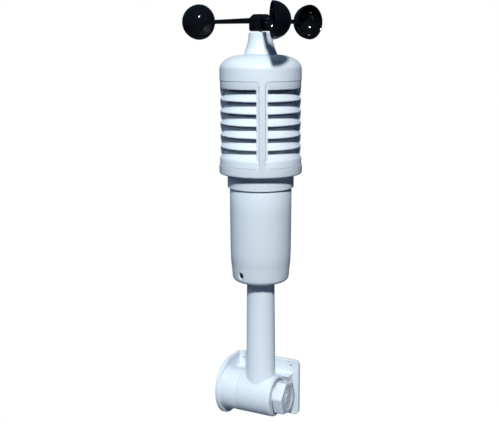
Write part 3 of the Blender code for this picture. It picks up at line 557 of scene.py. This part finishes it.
def ring_group():
    """Repeats a piece round the mast: how many, and the first one's angle."""
    group, start, copies = repeat_group("ring_of_copies", Count="Int", First_angle="Float")
    nodes, links = group.nodes, group.links
    points = nodes.new("GeometryNodePoints")
    index = nodes.new("GeometryNodeInputIndex")
    share = nodes.new("ShaderNodeMath")
    share.operation = "DIVIDE"
    whole = nodes.new("ShaderNodeMath")
    whole.operation = "MULTIPLY_ADD"
    whole.inputs[1].default_value = 2 * pi
    turn = nodes.new("ShaderNodeCombineXYZ")
    links.new(start.outputs["Count"], points.inputs["Count"])
    links.new(index.outputs["Index"], share.inputs[0])
    links.new(start.outputs["Count"], share.inputs[1])
    links.new(share.outputs[0], whole.inputs[0])
    links.new(start.outputs["First angle"], whole.inputs[2])
    links.new(whole.outputs[0], turn.inputs["Z"])
    links.new(points.outputs["Points"], copies.inputs["Points"])
    links.new(turn.outputs["Vector"], copies.inputs["Rotation"])
    return group


def chip_group():
    """Small board parts on a grid: how many each way, how far apart, and a seed for their sizes."""
    group, start, copies = repeat_group("board_parts", Columns="Int", Rows="Int", Width="Float",
                                        Height="Float", Seed="Int")
    nodes, links = group.nodes, group.links
    grid = nodes.new("GeometryNodeMeshGrid")
    keep = nodes.new("FunctionNodeRandomValue")
    keep.data_type = "BOOLEAN"
    keep.inputs["Probability"].default_value = 0.8
    size = nodes.new("FunctionNodeRandomValue")
    size.data_type = "FLOAT_VECTOR"
    size.inputs[0].default_value = (0.6, 0.5, 0.7)
    size.inputs[1].default_value = (1.5, 1.3, 1.6)
    links.new(start.outputs["Width"], grid.inputs["Size X"])
    links.new(start.outputs["Height"], grid.inputs["Size Y"])
    links.new(start.outputs["Columns"], grid.inputs["Vertices X"])
    links.new(start.outputs["Rows"], grid.inputs["Vertices Y"])
    links.new(start.outputs["Seed"], keep.inputs["Seed"])
    links.new(start.outputs["Seed"], size.inputs["Seed"])
    links.new(grid.outputs["Mesh"], copies.inputs["Points"])
    links.new(keep.outputs[3], copies.inputs["Selection"])
    links.new(size.outputs[0], copies.inputs["Scale"])
    return group


STACK, RING, CHIPS = stack_group(), ring_group(), chip_group()


def repeated(made, group, finish_name, **values):
    """Runs one of the repeats on a piece and keeps the result as its mesh."""
    step = made.modifiers.new("repeat", "NODES")
    step.node_group = group
    socket = {s.name: s.identifier for s in group.interface.items_tree if s.in_out == "INPUT"}
    step[socket["Finish"]] = FINISH[finish_name]
    for name, value in values.items():
        step[socket[name.replace("_", " ")]] = value
    return baked(made)


# ---------------------------------------------------------------- bracket

def wall_bracket():
    """Wall plate, end gusset, fixed boss and saddle."""
    high = PLATE_HALF_HEIGHT
    outline = rounded_rectangle(PLATE_LEFT, PLATE_RIGHT, -high, high, PLATE_CORNER)
    plate = upright(prism("wall_bracket_shell", outline, 0, PLATE_BACK - PLATE_FRONT))
    softened(moved(plate, y=PLATE_BACK), MOULDED_EDGE, 3)
    field = rounded_rectangle(GUSSET_INNER - 2.0, PLATE_RIGHT - PLATE_RIM, -high + PLATE_RIM,
                              high - PLATE_RIM, TRAY_CORNER)
    cut(plate, moved(upright(prism("tray", field, -TRAY_DEPTH, 1.0)), y=PLATE_FRONT))
    side = [(PLATE_BACK - 0.6, -GUSSET_RADIUS + 0.4), (PLATE_BACK - 0.6, GUSSET_RADIUS - 0.4)]
    side += arc(GUSSET_CENTRE, 0, GUSSET_RADIUS, 90, 270, 48)
    gusset = softened(prism("gusset", side, PLATE_LEFT + 0.02, GUSSET_INNER, "X"), MOULDED_EDGE, 3)
    within = GUSSET_RADIUS - PLATE_RIM
    room = [(PLATE_FRONT + 2, -within), (PLATE_FRONT + 2, within)]
    room += arc(GUSSET_CENTRE, 0, within, 90, 270, 48)
    cut(gusset, prism("room", room, GUSSET_INNER - GUSSET_TRAY_DEPTH, GUSSET_INNER + 2, "X"))
    saddle = block("saddle", (GUSSET_INNER - 1, SADDLE_FRONT, -SADDLE_HALF_HEIGHT),
                   (SADDLE_RIGHT, PLATE_FRONT + 1.5, SADDLE_HALF_HEIGHT))
    hollow = rod("hollow", (-BARREL_HALF_LENGTH - GAP, 0, 0), (SADDLE_RIGHT + 5, 0, 0),
                 BARREL_RADIUS + SADDLE_CLEARANCE, 96)
    cut(saddle, hollow)
    softened(saddle, 0.35)
    section = rounded_tube(0.0, BARREL_RADIUS, GUSSET_INNER - 1.2, -BARREL_HALF_LENGTH - GAP, 0.5)
    boss = along_x(turned("boss", section, 96))
    fuse(plate, gusset, saddle, boss)
    bore = rod("bore", (PLATE_LEFT - 1, 0, 0), (0, 0, 0), BOLT_RADIUS + GAP)
    pocket = rod("pocket", (PLATE_LEFT - 1, 0, 0), (PLATE_LEFT + BOLT_HEAD_HEIGHT + GAP, 0, 0),
                 BOLT_HEAD_RADIUS + GAP)
    core = along_x(turned("core", tube(BOSS_TUBE_RADIUS, BOSS_BORE_RADIUS, GUSSET_INNER + 5,
                                       -BARREL_HALF_LENGTH + 1), 64))
    cut(plate, core, bore, pocket)
    for x in SCREW_HOLES_X:
        for z in (-SCREW_HOLE_Z, SCREW_HOLE_Z):
            cut(plate, rod("hole", (x, PLATE_FRONT - 1, z), (x, PLATE_BACK + 1, z),
                           SCREW_HOLE_RADIUS, 32))
    seat(plate, "bracket", "white_asa", "wall_bracket")


def pivot_bolt():
    """Cross-slotted bolt through the gusset, the boss and the barrel."""
    head = BOLT_HEAD_HEIGHT
    total = BOLT_END - PLATE_LEFT
    profile = [(0, 0.2), (BOLT_HEAD_RADIUS - 1.4, 0.2), (BOLT_HEAD_RADIUS - 0.5, 0.6),
               (BOLT_HEAD_RADIUS, 1.5), (BOLT_HEAD_RADIUS, head), (BOLT_RADIUS, head),
               (BOLT_RADIUS, total - 0.8), (BOLT_RADIUS - 0.8, total), (0, total)]
    bolt = moved(along_x(turned("bolt", profile, 48)), x=PLATE_LEFT)
    wide, long = BOLT_SLOT_WIDTH / 2, BOLT_SLOT_LENGTH / 2
    for y, z in ((wide, long), (long, wide)):
        cut(bolt, block("slot", (PLATE_LEFT - 1, -y, -z), (PLATE_LEFT + BOLT_SLOT_DEPTH, y, z)))
    seat(bolt, "bracket", "steel", "pivot_bolt")


def clamp_knob():
    """Six-sided hand nut with rings turned into its end."""
    outline = []
    for i in range(6):
        corner = KNOB_TURN + 60 * i
        y, z = KNOB_CORNER_CENTRE * cos(radians(corner)), KNOB_CORNER_CENTRE * sin(radians(corner))
        outline += arc(y, z, KNOB_CORNER_ROUND, corner - 30, corner + 30, 8)
    knob = softened(prism("hand_nut", outline, KNOB_START, KNOB_END, "X"), KNOB_EDGE, 4)
    end = KNOB_END
    dish = along_x(turned("dish", [(5.6, end - 0.5), (11.9, end - 0.5), (12.7, end + 0.4),
                                   (5.2, end + 0.4)], 64))
    ring = along_x(turned("ring", [(8.4, end - 0.7), (9.4, end - 0.7), (9.2, end - 0.25),
                                   (8.6, end - 0.25)], 64))
    bore = rod("bore", (KNOB_START - 1, 0, 0), (BOLT_END + 0.6, 0, 0), BOLT_RADIUS + GAP)
    room = along_x(turned("room", tube(0, NUT_ROOM_RADIUS, KNOB_START - 1, KNOB_START + NUT_ROOM_DEPTH), 6))
    cut(knob, dish, bore, room)
    fuse(knob, ring)
    softened(knob, 0.12, 2, 50)
    seat(knob, "knob", "white_asa", "clamp_knob")


# ---------------------------------------------------------------- mast

def pole_radius(z):
    """The pole gets thinner upwards, by its draft."""
    return POLE_FOOT_RADIUS - POLE_DRAFT * z


def root_fillet():
    """Fillet between the upright pole and the barrel lying under it."""
    count, steps = 96, 5
    near = pole_radius(20)
    out = near + ROOT_FILLET
    points = []
    for i in range(count):
        turn = 2 * pi * i / count
        crest = sqrt(BARREL_RADIUS ** 2 - (near * sin(turn)) ** 2)
        foot = sqrt(BARREL_RADIUS ** 2 - (out * sin(turn)) ** 2) - 0.05
        section = [(near - 1.5, crest - 1.5), (near - 0.05, crest + ROOT_FILLET)]
        for k in range(1, steps):
            part = k / steps
            rise = ROOT_FILLET * (1 - sqrt(1 - (1 - part) ** 2))
            section.append((near + ROOT_FILLET * part ** 1.6, crest + rise + (foot - crest) * part))
        section += [(out, foot), (out - 0.2, foot - 1.5)]
        points += [(r * cos(turn), r * sin(turn), z) for r, z in section]
    size = steps + 3
    faces = []
    for i in range(count):
        for k in range(size):
            a, b = i * size, (i + 1) % count * size
            faces.append((a + k, a + (k + 1) % size, b + (k + 1) % size, b + k))
    return solid("root_fillet", points, faces)


def mast_pole():
    """Drafted hollow pole on its pivot barrel."""
    low = 6.0
    section = [(0, low), (pole_radius(low), low), (pole_radius(POLE_TOP), POLE_TOP - 0.5),
               (pole_radius(POLE_TOP) - 0.5, POLE_TOP), (0, POLE_TOP)]
    pole = turned("mast_shell", section, 128)
    ends, edge = BARREL_HALF_LENGTH, BARREL_EDGE
    rim = [(0, -ends), (BARREL_RADIUS - 0.4, -ends), (BARREL_RADIUS, -ends + 0.4)]
    rim += [(BARREL_RADIUS - edge + edge * sin(radians(t)), ends - edge + edge * cos(radians(t)))
            for t in range(90, -1, -10)] + [(0, ends)]
    barrel = along_x(turned("barrel", rim, 128))
    cut(barrel, along_x(turned("recess", tube(*BARREL_RECESS, ends - BARREL_RECESS_DEPTH, ends + 1), 96)))
    fuse(pole, barrel, root_fillet())
    bore_top = POLE_TOP - POLE_ROOF
    cut(pole, rod("core", (0, 0, -BARREL_RADIUS - 1), (0, 0, bore_top), POLE_BORE, 64))
    fuse(pole, rod("bolt_tube", (-ends + 3, 0, 0), (ends - 3, 0, 0), BOLT_TUBE_RADIUS))
    cut(pole, rod("bolt_hole", (-ends - 1, 0, 0), (ends + 1, 0, 0), BOLT_RADIUS + GAP))
    cut(pole, rod("pilot", (0, 0, bore_top - 1), (0, 0, POLE_TOP + 1), PILOT_RADIUS, 24))
    seat(pole, "mast", "white_asa", "mast_pole")


# ---------------------------------------------------------------- battery sleeve

def battery_sleeve():
    """Cover round the battery compartment, with a recess for its screw."""
    foot = arc(23.3, SLEEVE_BOTTOM + 5.0, 5.0, -8, -90, 12)
    outer = [(29.9, SLEEVE_TOP), (30.3, SLEEVE_TOP - 0.2), (30.5, SLEEVE_TOP - 0.7), (30.45, 193.5),
             (30.15, 152.6), (29.6, 140.9), (29.5, 140.5), (29.42, 139.6), (28.6, 131.9)] + foot
    hole = SLEEVE_HOLE_RADIUS
    wall = SLEEVE_WALL
    inner = [(28.5, SLEEVE_TOP), (28.45, 193.5), (28.15, 152.6), (27.5, 140.2), (26.6, 131.9),
             (24.6, SLEEVE_BOTTOM + 3.6), (22.8, SLEEVE_BOTTOM + wall)]
    profile = outer + [(hole + 0.3, SLEEVE_BOTTOM), (hole, SLEEVE_BOTTOM + 0.3), (hole, SLEEVE_BOTTOM + wall)]
    sleeve = turned("sleeve_shell", profile + inner[::-1], 144)
    angle, z = SLEEVE_SCREW_TURN, SLEEVE_SCREW_Z
    fuse(sleeve, rod("boss", polar(24.2, angle, z), polar(27.3, angle, z), SCREW_BOSS_RADIUS, 40))
    well = turned("well", [(0, 0), (3.3, 0), (3.45, 1.9), (3.8, 2.4), (3.8, 8), (0, 8)], 48)
    cut(sleeve, aimed(well, SCREW_WELL_REACH, angle, z))
    cut(sleeve, rod("hole", polar(20, angle, z), polar(30, angle, z), SCREW_CLEARANCE_RADIUS, 24))
    seat(sleeve, "sleeve", "white_asa", "battery_sleeve")


def sleeve_screw():
    """Cross-head screw at the sleeve's foot."""
    head, shank = SCREW_HEAD_RADIUS, SCREW_SHANK_RADIUS
    base = SCREW_SEAT_REACH - SCREW_TIP_REACH
    dome = [(head * cos(radians(t)), base + 0.7 + 1.3 * sin(radians(t))) for t in range(0, 91, 15)]
    profile = [(0, 0), (shank - 0.3, 0), (shank, 0.4), (shank, base), (head, base)] + dome[:-1]
    screw = turned("cross_screw", profile + [(0, base + 2.0)], 40)
    for width, depth in (SCREW_CROSS, SCREW_CROSS[::-1]):
        cut(screw, block("cross", (-width / 2, -depth / 2, base + 0.9), (width / 2, depth / 2, base + 4)))
    softened(screw, 0.08, 1, 50)
    aimed(screw, SCREW_TIP_REACH, SLEEVE_SCREW_TURN, SLEEVE_SCREW_Z)
    seat(screw, "sleeve", "steel", "sleeve_screw")


# ---------------------------------------------------------------- shield

def shield_side_radius(z):
    """The shield's side flares a little from the cap to the skirt's foot."""
    part = (CAP_TOP - CAP_DEPTH - z) / (CAP_TOP - CAP_DEPTH - SHIELD_FOOT)
    return SHIELD_TOP_RADIUS + (SHIELD_FOOT_RADIUS - SHIELD_TOP_RADIUS) * part


def cap_outline(inset, steps):
    """The cap's quarter-ellipse shoulder, from its flat top to its side."""
    centre_z = CAP_TOP - CAP_DEPTH
    reach = SHIELD_TOP_RADIUS - CAP_FLAT_RADIUS - inset
    rise = CAP_DEPTH - inset
    angles = [pi / 2 * i / steps for i in range(steps + 1)]
    return [(CAP_FLAT_RADIUS + reach * sin(t), centre_z + rise * cos(t)) for t in angles]


def shield_frame():
    """Cap, two pillars and skirt in one moulding."""
    r, low = SHIELD_FOOT_RADIUS, SHIELD_FOOT
    outer = cap_outline(0, 24) + [(shield_side_radius(WINDOW_TOP), WINDOW_TOP), (r, low + 1.8),
                                  (r - 0.12, low + 1.1), (r - 0.5, low + 0.45), (r - 1.0, low + 0.1),
                                  (r - 1.6, low)]
    inner = cap_outline(SHIELD_WALL, 10) + [(r - SHIELD_WALL, low)]
    profile = [(CAP_BORE, CAP_TOP)] + outer + inner[::-1] + [(CAP_BORE, CAP_TOP - SHIELD_WALL)]
    front = -90 + HEAD_TURN
    shell = turned("shield_shell", profile, 144, start=front)
    sweep = 180 - 2 * PILLAR_HALF_ANGLE
    for turn in (front, front + 180):
        cut(shell, bent_block("window", 33.0, 44.0, turn + PILLAR_HALF_ANGLE, sweep, WINDOW_BOTTOM,
                              WINDOW_TOP, WINDOW_CORNER, 60))
    softened(shell, 0.3, 2, 50)
    seat(shell, "head", "white_asa", "shield_frame")


def slat_section():
    """One louvre's section, its lip lowest and widest."""
    wide = LIP_RADIUS
    return [(wide - 1.5, 0.2), (wide - 0.55, 0), (wide - 0.25, 0.12), (wide - 0.07, 0.42), (wide, 0.8),
            (wide - 0.25, 1.4), (wide - 0.9, 2.2), (wide - 7.4, 9.0), (wide - 8.4, 7.9)]


def louvre_panel(side, turn):
    """Half of the louvred wall: its slats, the bands above and below, and the walls that hold them."""
    edge = PILLAR_HALF_ANGLE + PANEL_GAP_ANGLE
    start = turn + edge
    sweep = 180 - 2 * edge
    steps = 72
    low, top = WINDOW_BOTTOM + 0.4, WINDOW_TOP - 0.4
    wide = LIP_RADIUS
    panel = turned(f"louvres_{side}", slat_section(), steps, start, sweep)
    moved(panel, z=LIP_TOP - LIP_PITCH)
    repeated(panel, STACK, "white_asa", Count=LOUVRE_COUNT, Step=(0, 0, -LIP_PITCH))
    skin = wide - PANEL_SKIN
    band = [(skin, LIP_TOP), (wide - 0.5, LIP_TOP), (wide - 0.15, LIP_TOP + 0.2),
            (wide + 0.03, LIP_TOP + 0.8), (wide + 0.1, top), (skin, top)]
    last = LIP_TOP - LIP_PITCH * (LOUVRE_COUNT + 1)
    foot = [(skin, low), (wide + 0.65, low), (wide + 0.55, last + 0.3), (wide + 0.2, last + 1.6),
            (wide - 0.9, last + 3.0), (wide - 7.2, last + 9.6), (wide - 8.4, last + 8.4), (skin, last)]
    more = [turned("band", band, steps, start, sweep), turned("foot", foot, steps, start, sweep)]
    for offset in (0.0, sweep - STRIP_ANGLE):
        more.append(turned("strip", tube(STRIP_INNER, wide + 0.04, low + 0.3, top - 0.3), 4,
                           start + offset + 0.02, STRIP_ANGLE - 0.04))
        more.append(turned("end_wall", tube(SCREEN_FACE, END_WALL_OUTER, low + 6.5, top - 2), 2,
                           start + offset + (STRIP_ANGLE - END_WALL_ANGLE) / 2, END_WALL_ANGLE))
    more.append(turned("web", tube(SCREEN_FACE, wide - 0.1, low + 2, top - 2), 2,
                       start + (sweep - WEB_ANGLE) / 2, WEB_ANGLE))
    together(panel, *more)
    seat(panel, "head", "white_asa", f"louvre_panel_{side}", smooth=28)


def shield_base():
    """Neck and floor that close the shield from below."""
    top = BASE_FLOOR + BASE_THICKNESS
    wall = NECK_RADIUS - SHIELD_WALL
    edge = SHIELD_FOOT_RADIUS - SHIELD_WALL - GAP
    profile = [(BASE_BORE, BASE_FLOOR), (wall, BASE_FLOOR), (wall, NECK_FOOT),
               (NECK_RADIUS - 0.4, NECK_FOOT), (NECK_RADIUS, NECK_FOOT + 0.4),
               (NECK_RADIUS, BASE_FLOOR - 1), (NECK_RADIUS + 1, BASE_FLOOR),
               (edge, BASE_FLOOR), (edge, top), (BASE_BORE, top)]
    base = turned("neck_and_floor", profile, 128)
    seat(base, "head", "white_asa", "shield_base")


# ---------------------------------------------------------------- tower and rotor

def bearing_tower():
    """Concave cone that carries the rotor's bearing."""
    foot = CAP_TOP + GAP
    outer = [(10.2, TOWER_TOP), (10.6, TOWER_TOP - 0.15)]
    steps = 20
    for i in range(steps + 1):
        part = i / steps
        z = TOWER_TOP - 1.0 - (TOWER_TOP - 1.0 - foot) * part
        outer.append((TOWER_TOP_RADIUS + TOWER_FLARE * part ** TOWER_CURVE, z))
    inner = [(14.2, foot), (9.4, 357.5), (6.4, 359.4), (6.4, 322.0), (3.0, 322.0), (3.0, 361.0),
             (4.3, 361.0), (4.3, TOWER_TOP)]
    tower = turned("cone", outer + inner, 128)
    seat(tower, "head", "white_asa", "bearing_tower")


def arm_slot(angle):
    """The room that an arm's root needs in the hub."""
    half = ARM_WIDTH / 2 + GAP
    high = ARM_ROOT_HEIGHT / 2 + GAP
    tool = block("slot", (ARM_ROOT - GAP, -half, HUB_SPLIT - high),
                 (HUB_RADIUS + 3, half, HUB_SPLIT + high))
    return moved(tool, turn=angle)


def hub():
    """The hub's two halves, which clamp the arms between them."""
    r, split, half_gap = HUB_RADIUS, HUB_SPLIT, GAP / 2
    bore, pocket, roof = SHAFT_HOLE_RADIUS, SHAFT_POCKET_RADIUS, HUB_TOP - SHAFT_POCKET_DEPTH
    low = [(bore, HUB_FOOT), (r - 1.8, HUB_FOOT), (r - 0.9, HUB_FOOT + 0.25), (r - 0.3, HUB_FOOT + 1.0),
           (r, HUB_FOOT + 2.6), (r, split - 0.4), (r - 0.25, split - half_gap), (bore, split - half_gap)]
    high = [(0, roof), (pocket, roof), (pocket, split + half_gap), (r - 0.25, split + half_gap),
            (r, split + 0.4), (r, HUB_TOP - 4.0), (r - 0.2, HUB_TOP - 3.5), (r - 3.7, HUB_TOP - 0.2),
            (r - 4.2, HUB_TOP), (0, HUB_TOP)]
    for name, profile, node in (("hub_lower", low, "rotor_hub"), ("hub_upper", high, "hub_cap")):
        half = turned(name, profile, 96)
        cut(half, *[arm_slot(ROTOR_ARM_TURN + 120 * i) for i in range(3)])
        seat(half, "rotor", "gloss_black", node)


def cups():
    """Three arms, each with its hemispherical cup, set round the shaft."""
    steps = 24
    rim, hollow = CUP_RADIUS, CUP_RADIUS - CUP_WALL
    outer, inner = (arc(0, 0, radius, 0, 90, steps)[1:-1] for radius in (rim, hollow))
    bead = [(hollow, 0.2), (hollow + 0.2, 0), (rim - 0.1, 0), (rim + CUP_BEAD, 0.25), (rim + CUP_BEAD, 0.95)]
    cup = turned("cups_and_arms", bead + outer + [(0, rim), (0, hollow)] + inner[::-1], 96)
    cup.data.transform(Matrix.Rotation(radians(-90), 4, "X"))
    moved(cup, x=CUP_CENTRE, z=-CUP_DROOP)
    reach = CUP_CENTRE - CUP_RADIUS + 1.1
    root, tip = ARM_ROOT_HEIGHT / 2, ARM_TIP_HEIGHT / 2
    start = HUB_RADIUS + 2
    outline = [(ARM_ROOT, -root), (start, -root), (reach, -tip - CUP_DROOP), (reach, tip - CUP_DROOP),
               (start, root), (ARM_ROOT, root)]
    arm = softened(prism("arm", outline, -ARM_WIDTH / 2, ARM_WIDTH / 2), 0.35)
    groove = [(start + 1.5, -root + 1.1), (reach - 1.2, -tip - CUP_DROOP + 1.0),
              (reach - 1.2, tip - CUP_DROOP - 1.0), (start + 1.5, root - 1.1)]
    for side in (-1, 1):
        low, high = sorted((side * (ARM_WIDTH / 2 - 0.8), side * (ARM_WIDTH / 2 + 1)))
        cut(arm, prism("groove", groove, low, high))
    fuse(cup, upright(arm))
    moved(cup, z=HUB_SPLIT)
    repeated(cup, RING, "gloss_black", Count=3, First_angle=radians(ROTOR_ARM_TURN))
    seat(cup, "rotor", "gloss_black", "cup_arm_1", "cup_arm_2", "cup_arm_3")


# ---------------------------------------------------------------- main board

def chip(name):
    """One small board part: a dark body on the board, between two end caps."""
    body = softened(block(name, (-0.6, -0.45, 0), (0.6, 0.45, 0.7)), 0.06)
    caps = [block("cap", (x - 0.18, -0.5, 0), (x + 0.18, 0.5, 0.55)) for x in (-0.7, 0.7)]
    return together(body, *caps)


def board_parts():
    """Rows of small parts on the free areas of the main board, and one large square chip."""
    column = repeated(chip("column"), CHIPS, "magnet", Columns=2, Rows=11, Width=4.4, Height=38.0, Seed=3)
    rows = repeated(chip("rows"), CHIPS, "magnet", Columns=7, Rows=3, Width=21.0, Height=6.4, Seed=8)
    moved(upright(column), x=14.8, y=BOARD_FACE, z=182.0)
    moved(upright(rows), x=-5.0, y=BOARD_FACE, z=178.5)
    large = softened(block("chip", (1.6, BOARD_FACE - 1.35, 188.0), (7.0, BOARD_FACE, 194.0)), 0.15)
    parts = together(column, rows, large)
    parts.name = "board_parts"
    seat(parts, "head", "magnet")


# ---------------------------------------------------------------- assembly

wall_bracket()
pivot_bolt()
clamp_knob()
mast_pole()
battery_sleeve()
sleeve_screw()
shield_frame()
louvre_panel("right", -90 + HEAD_TURN)
louvre_panel("left", 90 + HEAD_TURN)
shield_base()
bearing_tower()
hub()
cups()
board_parts()

# The inner pieces keep the model's own shapes and take a finish.
SLOTS = {part["node"]: part["material_slot"] for part in frame["record"]["subparts"]}
for name, node in frame["nodes"].items():
    node.data.materials.clear()
    node.data.materials.append(FINISH[SLOTS[name]])

# ---------------------------------------------------------------- studio

def backdrop_material():
    """Plain pale surface that stays white behind the object and casts little light back."""
    made = bpy.data.materials.new("backdrop")
    made.use_nodes = True
    nodes, links = made.node_tree.nodes, made.node_tree.links
    shader = nodes["Principled BSDF"]
    shader.inputs["Base Color"].default_value = (0.09, 0.11, 0.15, 1.0)
    shader.inputs["Roughness"].default_value = 0.9
    glow = nodes.new("ShaderNodeEmission")
    glow.inputs["Color"].default_value = (1.0, 1.0, 1.0, 1.0)
    seen = nodes.new("ShaderNodeLightPath")
    mix = nodes.new("ShaderNodeMixShader")
    links.new(seen.outputs["Is Camera Ray"], mix.inputs["Fac"])
    links.new(shader.outputs["BSDF"], mix.inputs[1])
    links.new(glow.outputs["Emission"], mix.inputs[2])
    links.new(mix.outputs["Shader"], nodes["Material Output"].inputs["Surface"])
    return made


def floor():
    """A wide floor under the hanging object."""
    made = solid("floor", [(-9, -9, 0), (9, -9, 0), (9, 9, 0), (-9, 9, 0)], [(0, 1, 2, 3)])
    made.data.transform(Matrix.Translation((0, 0, -1.05)))
    made.data.materials.append(backdrop_material())


def area_light(name, width, power, azimuth, elevation, distance, colour=(1.0, 1.0, 1.0), aim=0.25,
               spread=180, mirrored=True):
    """A square lamp that looks at the mast from a direction round it."""
    lamp = bpy.data.lights.new(name, "AREA")
    lamp.size = width
    lamp.energy = power
    lamp.color = colour
    lamp.spread = radians(spread)
    made = bpy.data.objects.new(name, lamp)
    bpy.context.scene.collection.objects.link(made)
    a, e = radians(azimuth), radians(elevation)
    away = Vector((sin(a) * cos(e), -cos(a) * cos(e), sin(e)))
    made.location = Vector((0, -MAST_OFF_WALL * MM, aim)) + away * distance
    made.rotation_euler = away.to_track_quat("Z", "Y").to_euler()
    made.visible_glossy = mirrored


def world():
    """White behind the object, a dim blue fill everywhere else."""
    made = bpy.data.worlds.new("studio")
    bpy.context.scene.world = made
    made.use_nodes = True
    nodes, links = made.node_tree.nodes, made.node_tree.links
    fill = nodes["Background"]
    fill.inputs["Color"].default_value = (0.24, 0.5, 1.0, 1.0)
    fill.inputs["Strength"].default_value = 0.09
    white = nodes.new("ShaderNodeBackground")
    white.inputs["Color"].default_value = (1.0, 1.0, 1.0, 1.0)
    seen = nodes.new("ShaderNodeLightPath")
    mix = nodes.new("ShaderNodeMixShader")
    links.new(seen.outputs["Is Camera Ray"], mix.inputs["Fac"])
    links.new(fill.outputs["Background"], mix.inputs[1])
    links.new(white.outputs["Background"], mix.inputs[2])
    links.new(mix.outputs["Shader"], nodes["World Output"].inputs["Surface"])


def camera():
    """Looks at the mast from the right and a little above its middle, tilted down."""
    data = bpy.data.cameras.new("camera")
    data.lens = 61.06
    data.sensor_width = 36
    made = bpy.data.objects.new("camera", data)
    bpy.context.scene.collection.objects.link(made)
    turn, away, aside = radians(27), 0.8265, 0.01063
    height, tilt, roll = 0.3592, radians(78.6), radians(-0.2)
    made.location = (away * sin(turn) - aside * cos(turn),
                     -MAST_OFF_WALL * MM - away * cos(turn) - aside * sin(turn), height)
    steps = ((turn, "Z"), (tilt, "X"), (roll, "Z"))
    aim = Matrix.Identity(4)
    for angle, axis in steps:
        aim = aim @ Matrix.Rotation(angle, 4, axis)
    made.rotation_euler = aim.to_euler()
    bpy.context.scene.camera = made


floor()
world()
area_light("key", 0.22, 68.0, 28, 39, 2.5, (0.88, 0.965, 1.0))
area_light("side", 1.4, 11.0, -62, 40, 2.2, (0.62, 0.82, 1.0), mirrored=False)
area_light("low", 0.2, 0.016, 12, -28, 0.36, (0.75, 0.9, 1.0), aim=-0.03, spread=40, mirrored=False)
area_light("back", 0.8, 26.0, 207, 3, 2.2, (0.85, 0.93, 1.0), mirrored=False)
camera()
bpy.context.scene.view_settings.view_transform = "Standard"
